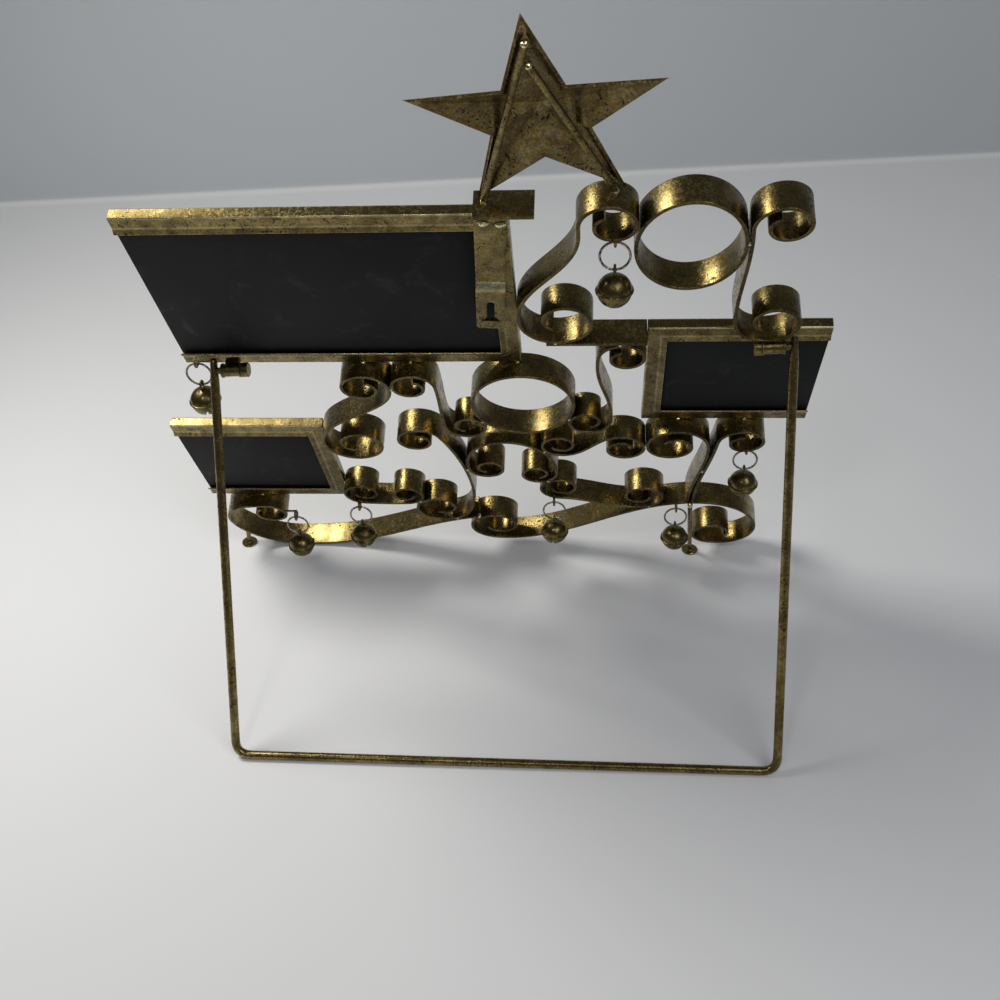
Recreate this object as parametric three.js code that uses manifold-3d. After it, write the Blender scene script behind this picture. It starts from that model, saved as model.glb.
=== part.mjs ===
// Tabletop photo frame: three slide-in frames in scrolled strip work, with a star, bells and a wire stand.
// Millimetres, +Z up, the pictures face -Y.
// The rack leans back. Its pieces are drawn flat as seen from behind: x to the right, y up the lean,
// z towards the back, with z = 0 on the back faces of the frames.
import * as THREE from 'three';
import { mergeVertices } from 'three/addons/utils/BufferGeometryUtils.js';
import Module from 'manifold-3d';

const wasm = await Module();
wasm.setup();

// Photographs that the frames take, and the play around them
const LARGE_PHOTO_WIDTH = 152.4;
const LARGE_PHOTO_HEIGHT = 101.6;
const SMALL_PHOTO_SIDE = 76.2;
const PHOTO_PLAY = 1.2;

// Folded sheet channel of the frames
const SHEET = 0.8;
const LIP = 4.6;
const FLANGE = 8.6;
const FLARE_RUN = 2.6;
const FLARE_RISE = 1.2;
const GLASS = 1.2;
const PANEL = 1.5;

// Clearance between pieces that touch or slide
const GAP = 0.3;

// Strip stock of the scrolls
const STRIP = 1.6;
const STRIP_WIDTH = 12.7;

// Places of the frames on the rack: the bottom corner on the closed side
const LARGE_AT = [24.05, 193.2];
const UPPER_AT = [79.4, 140.8];
const LOWER_AT = [-79.4, 53.9];

// Lean of the rack and its height over the floor
const LEAN = THREE.MathUtils.degToRad(24.83);
const RISE = 3.2;

// Star
const STAR_TIP_RADIUS = 46.5;
const STAR_NOTCH_RADIUS = 18.5;
const STAR_HEIGHT = 9;
const STAR_SHEET = 1.2;
const STAR_TURN = THREE.MathUtils.degToRad(5);
const STAR_X = 37.4;
const STAR_OVER_CAP = 41.1;
const STAR_BACK = -1.5;

// Cap plate over the large frame, and tie bar beside the upper one
const CAP_RISE = 6.8;
const CAP_ENDS = [11.5, 34.3];
const TIE_START = 36;
const TIE_DROP = 1.2;

// Round rod under the star and in the feet
const ROD_RADIUS = 1.3;
const FOOT_PAD_RADIUS = 4.5;
const FOOT_PAD = 1.2;
const LEFT_FOOT_TOP = [-148.2, 18.2, -2.4];
const LEFT_PAD = [-149.4, 5.4];
const RIGHT_FOOT_TOP = [108.4, 61.6];
const RIGHT_PAD = [112.5, 9];

// Hanger strap with its keyhole
const STRAP_WIDTH = 12;
const STRAP_TILT = THREE.MathUtils.degToRad(-3.5);
const STRAP_X = 13;
const STRAP_LENGTH = 73.8;
const STRAP_TOP_GAP = 1.24;
const STRAP_FLAT = 25.5;
const STRAP_JOGGLE = 2.7;
const STRAP_SLOPE = 4.3;
const KEYHOLE_SLOT = 3.2;
const KEYHOLE_MOUTH = 9.2;
const KEYHOLE_HEIGHT = 14;
const KEYHOLE_RISE = 5.2;

// Folding stand: where its legs cross the hinge, where its bar ends on the floor
// and how far its ends run on above the hinge
const WIRE_RADIUS = 2.25;
const WIRE_BEND = 8;
const LEFT_LEG_INSET = 15.35;
const RIGHT_LEG_X = 141;
const LEFT_BAR_END = [-120.3, 166];
const RIGHT_BAR_END = [145, 169.4];
const LEFT_STOP = 5.9;
const RIGHT_STOP = 4.6;
const HINGE_LEFT_X = -108;
const HINGE_LEFT_RISE = 5.8;
const HINGE_RIGHT_X = 133;
const HINGE_RIGHT_DROP = 3.4;
const HINGE_DEPTH = 7.5;
const PIN_RADIUS = 1.5;
const PIN_COLLAR = 1.2;
const BARREL_RADIUS = 3.3;
const BARREL_LEFT = 9;
const BARREL_RIGHT = 9.6;
const BARREL_CAP = 3.2;
const SADDLE_SHARE = 0.7;
const SADDLE_SINK = 1;
const LEFT_SADDLE = 3;
const RIGHT_SADDLE = 4;

// Bells and the rings that they hang by
const BELL_RADIUS = 7;
const BELL_WALL = 0.8;
const BELL_RIM = 0.9;
const BELL_RIM_HEIGHT = 1.2;
const BELL_SLOT = 1.6;
const BELL_PELLET = 1.8;
const BELL_SLOT_DROP = 2.45;
const BELL_LOOP = 2;
const BELL_LOOP_WIRE = 0.55;
const BELL_LOOP_SINK = 0.4;
const RING_RADIUS = 5.85;
const RING_WIRE = 0.5;
const EYE_RADIUS = 2.6;
const EYE_WIRE = 0.6;
const EYE_DEPTH = 4.5;
const FRAME_EYE_INSET = 3.15;
const SIDE_EYE_REACH = 7;

// Measures that follow from those above
const FRONT = -(3 * GAP + 2 * SHEET + GLASS + PANEL);
const STRIP_BACK = FRONT + STRIP_WIDTH;
const SEAT = GAP + STRIP / 2;
const DEGREE = Math.PI / 180;

// Straight steps that stand for a full turn of a curl, and for a bend
const CURL_STEPS = 15;
const BEND_STEPS = 12;

const paint = (color, roughness, metalness) => {
  return new THREE.MeshStandardMaterial({ color, roughness, metalness });
};
const gold = () => paint(0xa8843c, 0.5, 0.9);
const brass = () => paint(0x94763a, 0.45, 0.95);
const steel = () => paint(0x4b463c, 0.5, 0.9);
const card = () => paint(0x161513, 0.9, 0);
const pane = () => paint(0xdde8e6, 0.05, 0);

const product = new THREE.Group();
const model = new THREE.Group();
const rack = new THREE.Group();
rack.rotation.set(Math.PI / 2 + LEAN, 0, Math.PI, 'ZYX');
rack.position.z = RISE;
rack.updateMatrix();
product.add(model);
model.add(rack);

// Where a point of the rack stands over the floor
const place = (x, y, z) => new THREE.Vector3(x, y, z).applyMatrix4(rack.matrix);

const add = (parent, name, geometry, material) => {
  const mesh = new THREE.Mesh(geometry, material);
  mesh.name = name;
  parent.add(mesh);
  return mesh;
};

// Joining and cutting of closed shapes
const toSolid = (geometry) => {
  const bare = geometry.clone();
  bare.deleteAttribute('normal');
  bare.deleteAttribute('uv');
  const merged = mergeVertices(bare, 1e-4);
  const vertProperties = new Float32Array(merged.attributes.position.array);
  const triVerts = new Uint32Array(merged.index.array);
  return new wasm.Manifold(new wasm.Mesh({ numProp: 3, vertProperties, triVerts }));
};

const toGeometry = (solid) => {
  const mesh = solid.getMesh();
  const geometry = new THREE.BufferGeometry();
  geometry.setAttribute('position', new THREE.BufferAttribute(mesh.vertProperties, 3));
  geometry.setIndex(new THREE.BufferAttribute(mesh.triVerts, 1));
  geometry.computeVertexNormals();
  return geometry;
};

const join = (first, ...rest) => {
  return toGeometry(rest.reduce((sum, next) => sum.add(toSolid(next)), toSolid(first)));
};
const cut = (body, ...tools) => {
  return toGeometry(tools.reduce((left, tool) => left.subtract(toSolid(tool)), toSolid(body)));
};

const box = (width, height, depth, x, y, z) => new THREE.BoxGeometry(width, height, depth).translate(x, y, z);

// A round bar from one point to another
const rod = (from, to, radius, sides = 10) => {
  const along = to.clone().sub(from);
  const upright = new THREE.Vector3(0, 1, 0);
  const turn = new THREE.Quaternion().setFromUnitVectors(upright, along.clone().normalize());
  const middle = from.clone().add(to).multiplyScalar(0.5);
  const geometry = new THREE.CylinderGeometry(radius, radius, along.length(), sides);
  return geometry.applyQuaternion(turn).translate(...middle.toArray());
};

// A strip stood on edge: its path is thickened to both sides, with mitred turns, and drawn out to its width
const ribbon = (path, thickness, width) => {
  const normal = (i) => {
    const k = THREE.MathUtils.clamp(i, 0, path.length - 2);
    const run = path[k + 1].clone().sub(path[k]).normalize();
    return new THREE.Vector2(-run.y, run.x);
  };
  const edge = (side) => path.map((point, i) => {
    const before = normal(i - 1);
    const after = normal(i);
    const reach = (side * thickness) / 2 / (1 + before.dot(after));
    return before.add(after).multiplyScalar(reach).add(point);
  });
  const outline = new THREE.Shape([...edge(1), ...edge(-1).reverse()]);
  return new THREE.ExtrudeGeometry(outline, { depth: width, bevelEnabled: false });
};

const strip = (path) => ribbon(path, STRIP, STRIP_WIDTH).translate(0, 0, FRONT);

// The frames: where their edges are on the rack
const sheetFrame = ([closedSide, bottom], photoWidth, photoHeight, openSide) => {
  const width = photoWidth + PHOTO_PLAY + SHEET;
  const height = photoHeight + PHOTO_PLAY + 2 * SHEET;
  const left = openSide > 0 ? closedSide : closedSide - width;
  return { left, bottom, width, height, right: left + width, top: bottom + height, openSide };
};
const large = sheetFrame(LARGE_AT, LARGE_PHOTO_WIDTH, LARGE_PHOTO_HEIGHT, -1);
const upper = sheetFrame(UPPER_AT, SMALL_PHOTO_SIDE, SMALL_PHOTO_SIDE, 1);
const lower = sheetFrame(LOWER_AT, SMALL_PHOTO_SIDE, SMALL_PHOTO_SIDE, -1);

// Section of the channel: web outside, lip in front, and a flange behind whose free edge flares outwards
const channelSection = () => {
  const slope = Math.atan2(FLARE_RISE, FLARE_RUN);
  const bend = FLANGE - FLARE_RUN;
  return [
    [0, 0],
    [bend, 0],
    [FLANGE, FLARE_RISE],
    [FLANGE + SHEET * Math.sin(slope), FLARE_RISE - SHEET * Math.cos(slope)],
    [bend + SHEET * Math.tan(slope / 2), -SHEET],
    [SHEET, -SHEET],
    [SHEET, FRONT + SHEET],
    [LIP, FRONT + SHEET],
    [LIP, FRONT],
    [0, FRONT],
    [0, 0],
  ];
};

// A mitred frame is a lathe of four flat sides, drawn out to its width and height, then sawn open on one side
const channelFrame = (frame) => {
  const spare = 2 * FLANGE;
  const width = frame.width + spare;
  const profile = channelSection().map(([inset, z]) => new THREE.Vector2(Math.SQRT2 * (spare - inset), z));
  const geometry = new THREE.LatheGeometry(profile, 4, Math.PI / 4).rotateX(Math.PI / 2);
  const corners = geometry.attributes.position;
  for (let i = 0; i < corners.count; i += 1) {
    const x = corners.getX(i);
    const y = corners.getY(i);
    corners.setX(i, x + Math.sign(x) * (width / 2 - spare));
    corners.setY(i, y + Math.sign(y) * (frame.height / 2 - spare));
  }
  const middle = frame.left + (frame.width + frame.openSide * spare) / 2;
  geometry.translate(middle, frame.bottom + frame.height / 2, 0);
  const sawnEdge = frame.openSide > 0 ? frame.right : frame.left;
  const saw = box(2 * spare, 2 * frame.height, 2 * spare, sawnEdge + frame.openSide * spare, frame.bottom, 0);
  return cut(geometry, saw.translate(0, frame.height / 2, 0));
};

// Glass and backing board lie in the channels and slide out at the open side
const sheetIn = (frame, thickness, z) => {
  const width = frame.width - SHEET - GAP;
  const height = frame.height - 2 * SHEET - 2 * GAP;
  const x = (frame.left + frame.right) / 2 + (frame.openSide * (SHEET + GAP)) / 2;
  return box(width, height, thickness, x, frame.bottom + frame.height / 2, z);
};

// A bell eye: a wire loop that stands across the rack, so that its ring hangs square to it
const eye = (x, y, z) => {
  const loop = new THREE.TorusGeometry(EYE_RADIUS, EYE_WIRE, 6, 12).rotateY(Math.PI / 2);
  return loop.translate(x, y, z);
};
const eyeDrop = STRIP / 2 + EYE_RADIUS - EYE_WIRE;
const eyeBehind = STRIP_BACK + EYE_RADIUS - EYE_WIRE - GAP;

const frameEye = [large.left + FRAME_EYE_INSET, large.bottom - EYE_RADIUS, FRONT / 2];
const frames = { large, upper, lower };
for (const [name, frame] of Object.entries(frames)) {
  const channel = channelFrame(frame);
  const geometry = frame === large ? join(channel, eye(...frameEye)) : channel;
  const glassAt = FRONT + SHEET + GAP + GLASS / 2;
  const panelAt = -SHEET - GAP - PANEL / 2;
  add(rack, `frame_${name}`, geometry, gold());
  add(rack, `glass_${name}`, sheetIn(frame, GLASS, glassAt), pane());
  add(rack, `panel_${name}`, sheetIn(frame, PANEL, panelAt), card());
}

// A curl winds in from its outer radius to its eye; turns are counted anticlockwise, angles from the x axis
const curl = (radius, inner, turns, from, x, y) => ({ radius, inner, turns, from: from * DEGREE, x, y });
const radiusAfter = ({ radius, inner, turns }, share) => {
  return THREE.MathUtils.lerp(radius, inner, share / Math.abs(turns));
};
const curlPoint = (c, share) => {
  const angle = c.from + Math.sign(c.turns) * share * 2 * Math.PI;
  const radius = radiusAfter(c, share);
  return new THREE.Vector2(c.x + radius * Math.cos(angle), c.y + radius * Math.sin(angle));
};
const curlPoints = (c) => {
  const steps = Math.round(Math.abs(c.turns) * CURL_STEPS);
  return Array.from({ length: steps + 1 }, (_, i) => curlPoint(c, (Math.abs(c.turns) * i) / steps));
};
const curlHeading = (c) => curlPoint(c, 1e-4).sub(curlPoint(c, 0)).normalize();

// A scroll runs out of one curl, along easy bends past any plain points, and into the next curl or a plain
// end. Each bend pulls along the headings at its two ends
const plainPoint = (x, y, run, climb) => {
  const heading = new THREE.Vector2(run, climb).normalize();
  return { at: new THREE.Vector2(x, y), heading };
};
const stopAt = (stop) => stop.at ?? curlPoint(stop, 0);
const bend = (from, to, pullFrom, pullTo) => {
  const start = stopAt(from);
  const end = stopAt(to);
  const leave = from.heading ?? curlHeading(from).negate();
  const arrive = to.heading ?? curlHeading(to);
  const first = start.clone().addScaledVector(leave, pullFrom);
  const second = end.clone().addScaledVector(arrive, -pullTo);
  return new THREE.CubicBezierCurve(start, first, second, end).getPoints(BEND_STEPS);
};
const scrollPath = (stops, pulls) => {
  const path = curlPoints(stops[0]).reverse();
  for (let i = 1; i < stops.length; i += 1) {
    path.push(...bend(stops[i - 1], stops[i], pulls[2 * i - 2], pulls[2 * i - 1]).slice(1));
  }
  const last = stops.at(-1);
  return last.at ? path : [...path, ...curlPoints(last).slice(1)];
};

// Oval rings, set on edge like the strips
const ovalRing = (x, y, across, up) => {
  const outline = new THREE.Shape().absellipse(x, y, across + STRIP / 2, up + STRIP / 2, 0, 2 * Math.PI);
  const hole = new THREE.Path().absellipse(x, y, across - STRIP / 2, up - STRIP / 2, 0, 2 * Math.PI);
  outline.holes.push(hole);
  const settings = { depth: STRIP_WIDTH, bevelEnabled: false, curveSegments: 20 };
  return new THREE.ExtrudeGeometry(outline, settings).translate(0, 0, FRONT);
};
const upperOval = { x: 92.75, y: large.top - 12.2, across: 20.7, up: 26.3 };
const lowerOval = { x: 23.3, y: large.bottom - SEAT - 26.1, across: 23.7, up: 26.1 };
add(rack, 'oval_upper', ovalRing(upperOval.x, upperOval.y, upperOval.across, upperOval.up), gold());
add(rack, 'oval_lower', ovalRing(lowerOval.x, lowerOval.y, lowerOval.across, lowerOval.up), gold());

// Tie bar between the upper scrolls and the upper small frame
const tieY = upper.top - TIE_DROP;
const tieEnds = [new THREE.Vector2(TIE_START, tieY), new THREE.Vector2(upper.left - GAP, tieY)];
add(rack, 'tie_bar', strip(tieEnds), gold());

// Scrolls beside and above the frames; each leans on its neighbours with a seat of one gap
const topLeft = curl(12.6, 5.2, -1.2, 190, 62.6, large.top + 0.7);
const topLeftFoot = curl(17.5, 6, 1.15, 180, large.right + SEAT + 17.5, tieY + 16.8);
const topRight = curl(12.2, 5, -1.2, 190, 126.9, large.top - 0.6);
const topRightFoot = curl(15.2, 6, 1.15, 180, 129.6, upper.top + SEAT + 13.1);
const midLeft = curl(12.5, 5, 1.2, 0, -50.3, large.bottom - SEAT - 10.9);
const midLeftFoot = curl(16.5, 6, 1.2, 180, lower.right + SEAT + 16.5, 127);
const midCentre = curl(11.3, 4.6, 1.2, 0, -27.6, large.bottom - SEAT - 9.9);
const midCentreFoot = curl(11, 4.6, 1.2, 180, -4.4, 145.8);
const midRight = curl(11.5, 4.6, -1.2, 180, upper.left - SEAT - 8.6, tieY - 11.9);
const midRightFoot = curl(11, 4.6, -1.2, 0, 53.4, 150);
const midLow = curl(10, 4.2, -1.2, 270, 39.9, 126.1);
const midLowFoot = curl(12, 4.6, -1.2, 90, 70.9, 122.6);
const stemInner = curl(17, 5.5, 1.4, 0, 95.9, upper.bottom - SEAT - 14.9);
const stemOuter = curl(12.5, 4.6, -1.25, 180, 129.7, upper.bottom - SEAT - 10.9);
const lowWave = curl(12, 4.4, -1.25, 270, 39.3, 77.9);
const lowWaveFoot = curl(13, 4.6, 1.25, 270, 82, 68.1);
const lowArch = curl(10, 4, 1.2, 180, 2.2, 100.8);
const lowArchFoot = curl(10, 4, -1.2, 0, 27.3, 94.4);
const lowTall = curl(12, 4.6, 1.2, 20, -31, 130.5);
const lowTallFoot = curl(16.5, 5.5, -1.25, -20, -28, 52.65);
const lowLeft = curl(11.5, 4, -1.25, 270, lower.right + SEAT + 10, 70);
const lowLeftFoot = curl(10, 4, 1.25, 270, -45, 68.1);
const baseLeft = curl(9.8, 7, -0.9, 90, -126.4, lower.bottom - SEAT - 9.9);
const baseLeftLow = plainPoint(-115.26, 1.42, 1, 0);
const baseLeftEnd = plainPoint(-7.95, 40.85, 1, 0.25);
const baseMiddle = curl(17, 6, -1.2, 270, 2.5, 29.5);
const baseCrest = plainPoint(110.61, 60.62, 1, 0);
const baseRight = curl(13, 7.5, -0.8, 270, 124.3, 20.5);
const stemInnerEnd = plainPoint(106.8, baseCrest.at.y + 0.98, 0, -1);
const stemOuterEnd = plainPoint(109.6, baseCrest.at.y + 1.08, 0, -1);

const baseLeftPulls = [44.1, 35, 47.15, 40.77];
const baseRightPulls = [39.99, 38.7, 42.4, 33.6];
const scrolls = {
  scroll_upper_left: scrollPath([topLeft, topLeftFoot], [26, 26]),
  scroll_upper_right: scrollPath([topRight, topRightFoot], [20, 20]),
  scroll_middle_left: scrollPath([midLeft, midLeftFoot], [22, 26]),
  scroll_middle_centre: scrollPath([midCentre, midCentreFoot], [14, 14]),
  scroll_middle_right: scrollPath([midRight, midRightFoot], [24, 24]),
  scroll_middle_low: scrollPath([midLow, midLowFoot], [14, 14]),
  scroll_stem_inner: scrollPath([stemInner, stemInnerEnd], [20, 26]),
  scroll_stem_outer: scrollPath([stemOuter, stemOuterEnd], [26, 26]),
  scroll_lower_wave: scrollPath([lowWave, lowWaveFoot], [16, 16]),
  scroll_lower_arch: scrollPath([lowArch, lowArchFoot], [42, 42]),
  scroll_lower_tall: scrollPath([lowTall, lowTallFoot], [24, 24]),
  scroll_lower_left: scrollPath([lowLeft, lowLeftFoot], [8, 8]),
  base_strip_left: scrollPath([baseLeft, baseLeftLow, baseLeftEnd], baseLeftPulls),
  base_strip_right: scrollPath([baseMiddle, baseCrest, baseRight], baseRightPulls),
};

// Bell eyes: under a curl, or on the back edge of a strip, at a share of a turn along its curl. The eye of
// the left base curl stands off to its side on a wire stem
const under = (c, share) => {
  const point = curlPoint(c, share);
  return [point.x, point.y - eyeDrop, EYE_DEPTH];
};
const behind = (c, share) => [...curlPoint(c, share).toArray(), eyeBehind];
const crest = bend(baseMiddle, baseCrest, ...baseRightPulls).at(-2);
const sideStart = behind(baseLeft, 0.2);
const sideEye = [sideStart[0] + SIDE_EYE_REACH, sideStart[1], sideStart[2]];
const scrollEyes = {
  scroll_upper_left: under(topLeft, 0.745),
  base_strip_left: sideEye,
  scroll_lower_left: behind(lowLeft, 0.055),
  scroll_lower_wave: behind(lowWave, 0.055),
  base_strip_right: [...crest.toArray(), eyeBehind],
  scroll_stem_outer: under(stemOuter, 0.7),
};
const eyeFront = new THREE.Vector3(0, 0, -EYE_RADIUS);
const stemEnds = [sideStart, sideEye].map((at) => new THREE.Vector3(...at).add(eyeFront));
const stems = { base_strip_left: [rod(...stemEnds, EYE_WIRE)] };
for (const [name, path] of Object.entries(scrolls)) {
  const fittings = scrollEyes[name] ? [eye(...scrollEyes[name]), ...(stems[name] ?? [])] : [];
  add(rack, name, join(strip(path), ...fittings), gold());
}

// Cap plate and hanger strap on the large frame; the strap's lower end stands off for a screw head
const capY = large.top + CAP_RISE;
add(rack, 'cap_plate', strip(CAP_ENDS.map((x) => new THREE.Vector2(x, capY))), gold());
const strapStart = FLARE_RISE + GAP + STRIP / 2;
const strapPath = [
  new THREE.Vector2(0, strapStart + STRAP_JOGGLE),
  new THREE.Vector2(STRAP_FLAT, strapStart + STRAP_JOGGLE),
  new THREE.Vector2(STRAP_FLAT + STRAP_SLOPE, strapStart),
  new THREE.Vector2(STRAP_LENGTH, strapStart),
];
const strapBlank = ribbon(strapPath, STRIP, STRAP_WIDTH).translate(0, 0, -STRAP_WIDTH / 2);
strapBlank.applyMatrix4(new THREE.Matrix4().makeBasis(
  new THREE.Vector3(0, 1, 0),
  new THREE.Vector3(0, 0, 1),
  new THREE.Vector3(1, 0, 0),
));
const keyhole = new THREE.Shape();
keyhole.moveTo(-KEYHOLE_MOUTH / 2, 0);
keyhole.lineTo(KEYHOLE_MOUTH / 2, 0);
keyhole.quadraticCurveTo(KEYHOLE_MOUTH / 2, KEYHOLE_SLOT, KEYHOLE_SLOT / 2, KEYHOLE_SLOT);
keyhole.lineTo(KEYHOLE_SLOT / 2, KEYHOLE_HEIGHT - KEYHOLE_SLOT / 2);
keyhole.absarc(0, KEYHOLE_HEIGHT - KEYHOLE_SLOT / 2, KEYHOLE_SLOT / 2, 0, Math.PI);
keyhole.lineTo(-KEYHOLE_SLOT / 2, KEYHOLE_SLOT);
keyhole.quadraticCurveTo(-KEYHOLE_MOUTH / 2, KEYHOLE_SLOT, -KEYHOLE_MOUTH / 2, 0);
const keyholeSettings = { depth: STRAP_WIDTH, bevelEnabled: false, curveSegments: 6 };
const keyholeTool = new THREE.ExtrudeGeometry(keyhole, keyholeSettings);
const strap = add(rack, 'hanger_strap', cut(strapBlank, keyholeTool.translate(0, KEYHOLE_RISE, 0)), gold());
strap.rotation.z = STRAP_TILT;
strap.position.set(STRAP_X, capY - STRAP_TOP_GAP - STRAP_LENGTH * Math.cos(STRAP_TILT), 0);

// Star: a ten-sided cone with every second corner drawn in, pressed hollow from behind
const starCone = () => {
  const cone = new THREE.ConeGeometry(STAR_TIP_RADIUS, STAR_HEIGHT, 10, 1).rotateX(-Math.PI / 2);
  const corners = cone.attributes.position;
  for (let i = 0; i < corners.count; i += 1) {
    const turns = Math.atan2(corners.getX(i), corners.getY(i)) / (2 * Math.PI);
    const drawn = Math.round(10 * turns) % 2 === 0 ? 1 : STAR_NOTCH_RADIUS / STAR_TIP_RADIUS;
    corners.setXY(i, corners.getX(i) * drawn, corners.getY(i) * drawn);
  }
  return cone.rotateZ(STAR_TURN).translate(0, 0, -STAR_HEIGHT / 2);
};
const star = add(rack, 'star', cut(starCone(), starCone().translate(0, 0, STAR_SHEET)), gold());
star.position.set(STAR_X, capY + STAR_OVER_CAP, STAR_BACK);

// Rods that carry the star
const rodZ = STAR_BACK + GAP + ROD_RADIUS;
const starRod = (fromX, fromY, toX, toY) => rod(
  new THREE.Vector3(fromX, fromY, rodZ),
  new THREE.Vector3(toX, toY, rodZ),
  ROD_RADIUS,
);
add(rack, 'star_rod_left', starRod(15.5, capY + SEAT, STAR_X - 3.1, star.position.y + 35.5), gold());
const rodSeat = topLeft.y + SEAT + 10.9;
add(rack, 'star_rod_right', starRod(64, rodSeat, STAR_X - 2.4, star.position.y + 26.5), gold());

// Feet: rods from the base down to flat pads on the floor
const foot = (top, [padX, padY]) => {
  const bottom = new THREE.Vector3(-padX, padY, FOOT_PAD / 2);
  const pad = new THREE.CylinderGeometry(FOOT_PAD_RADIUS, FOOT_PAD_RADIUS, FOOT_PAD, 20).rotateX(Math.PI / 2);
  return join(rod(place(...top), bottom, ROD_RADIUS), pad.translate(...bottom.toArray()));
};
add(model, 'foot_left', foot(LEFT_FOOT_TOP, LEFT_PAD), gold());
add(model, 'foot_right', foot([...RIGHT_FOOT_TOP, STRIP_BACK + GAP + ROD_RADIUS], RIGHT_PAD), gold());

// Hinge of the stand: barrels on the rack, pins on the wire, caps on the pins
const hingeLeft = new THREE.Vector3(HINGE_LEFT_X, large.bottom + HINGE_LEFT_RISE, HINGE_DEPTH);
const hingeRight = new THREE.Vector3(HINGE_RIGHT_X, upper.top - HINGE_RIGHT_DROP, HINGE_DEPTH);
const hinge = (x) => hingeLeft.clone().lerp(hingeRight, (x - HINGE_LEFT_X) / (HINGE_RIGHT_X - HINGE_LEFT_X));
const hingeTurn = Math.atan2(hingeRight.y - hingeLeft.y, hingeRight.x - hingeLeft.x);
const bore = PIN_RADIUS + GAP;
const lathed = (profile, sides) => {
  const points = profile.map(([radius, along]) => new THREE.Vector2(radius, along));
  return new THREE.LatheGeometry(points, sides).rotateZ(-Math.PI / 2);
};
const barrel = (length) => {
  const outer = BARREL_RADIUS;
  return lathed([[bore, 0], [outer, 0], [outer, length], [bore, length], [bore, 0]], 20);
};
const barrelCap = () => lathed([
  [0, 0],
  [BARREL_RADIUS, 0],
  [BARREL_RADIUS, BARREL_CAP],
  [bore, BARREL_CAP],
  [bore, SHEET],
  [0, SHEET],
], 20);
const onHinge = (mesh, x) => {
  mesh.rotation.z = hingeTurn;
  mesh.position.copy(hinge(x));
};
const saddle = (length, from, height) => {
  const reach = HINGE_DEPTH - BARREL_RADIUS + SADDLE_SINK - from;
  return box(length * SADDLE_SHARE, height, reach, length / 2, 0, from + reach / 2 - HINGE_DEPTH);
};
const leftLegX = large.left + LEFT_LEG_INSET;
const leftBarrelX = leftLegX + WIRE_RADIUS + GAP + PIN_COLLAR;
const rightBarrelX = RIGHT_LEG_X - WIRE_RADIUS - GAP - PIN_COLLAR - BARREL_RIGHT;
const leftSaddle = saddle(BARREL_LEFT, FLARE_RISE + GAP, LEFT_SADDLE);
const rightSaddle = saddle(BARREL_RIGHT, GAP, RIGHT_SADDLE);
onHinge(add(rack, 'stand_barrel_left', join(barrel(BARREL_LEFT), leftSaddle), gold()), leftBarrelX);
onHinge(add(rack, 'stand_barrel_right', join(barrel(BARREL_RIGHT), rightSaddle), gold()), rightBarrelX);
const leftCapX = leftBarrelX + BARREL_LEFT + GAP;
const rightCapX = rightBarrelX - GAP - BARREL_CAP;
const leftCap = barrelCap().rotateY(Math.PI).translate(BARREL_CAP, 0, 0);
onHinge(add(rack, 'stand_cap_left', leftCap, gold()), leftCapX);
onHinge(add(rack, 'stand_cap_right', barrelCap(), gold()), rightCapX);

// A route of points for a wire; the sweep steps from point to point
class Route extends THREE.Curve {
  constructor(points) {
    super();
    this.points = points;
  }

  getPoint(t, target = new THREE.Vector3()) {
    const along = t * (this.points.length - 1);
    const i = Math.min(Math.floor(along), this.points.length - 2);
    return target.lerpVectors(this.points[i], this.points[i + 1], along - i);
  }

  getUtoTmapping(u) {
    return u;
  }
}

// Stand: a wire bent to a U that hangs on the hinge and whose bar lies on the floor
const legPivots = [leftLegX, RIGHT_LEG_X].map((x) => place(...hinge(x).toArray()));
const barEnds = [LEFT_BAR_END, RIGHT_BAR_END].map(([x, y]) => new THREE.Vector3(-x, y, WIRE_RADIUS));
const legTop = (i, stop) => {
  const up = legPivots[i].clone().sub(barEnds[i]).normalize();
  return legPivots[i].clone().addScaledVector(up, stop);
};
const wireBend = (from, corner, to) => {
  const start = corner.clone().addScaledVector(from.clone().sub(corner).normalize(), WIRE_BEND);
  const end = corner.clone().addScaledVector(to.clone().sub(corner).normalize(), WIRE_BEND);
  return new THREE.QuadraticBezierCurve3(start, corner, end).getPoints(6);
};
const standRoute = new Route([
  legTop(0, LEFT_STOP),
  ...wireBend(legPivots[0], barEnds[0], barEnds[1]),
  ...wireBend(barEnds[0], barEnds[1], legPivots[1]),
  legTop(1, RIGHT_STOP),
]);
const wireSection = new THREE.Shape().absarc(0, 0, WIRE_RADIUS, 0, 2 * Math.PI);
const standWire = new THREE.ExtrudeGeometry(wireSection, {
  steps: standRoute.points.length - 1,
  curveSegments: 6,
  extrudePath: standRoute,
});
const pin = (i, capX) => rod(legPivots[i], place(...hinge(capX).toArray()), PIN_RADIUS, 16);
const leftPin = pin(0, leftCapX + BARREL_CAP - SHEET - GAP);
const rightPin = pin(1, rightCapX + SHEET + GAP);
add(model, 'stand_wire', join(standWire, leftPin, rightPin), gold());

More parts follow.
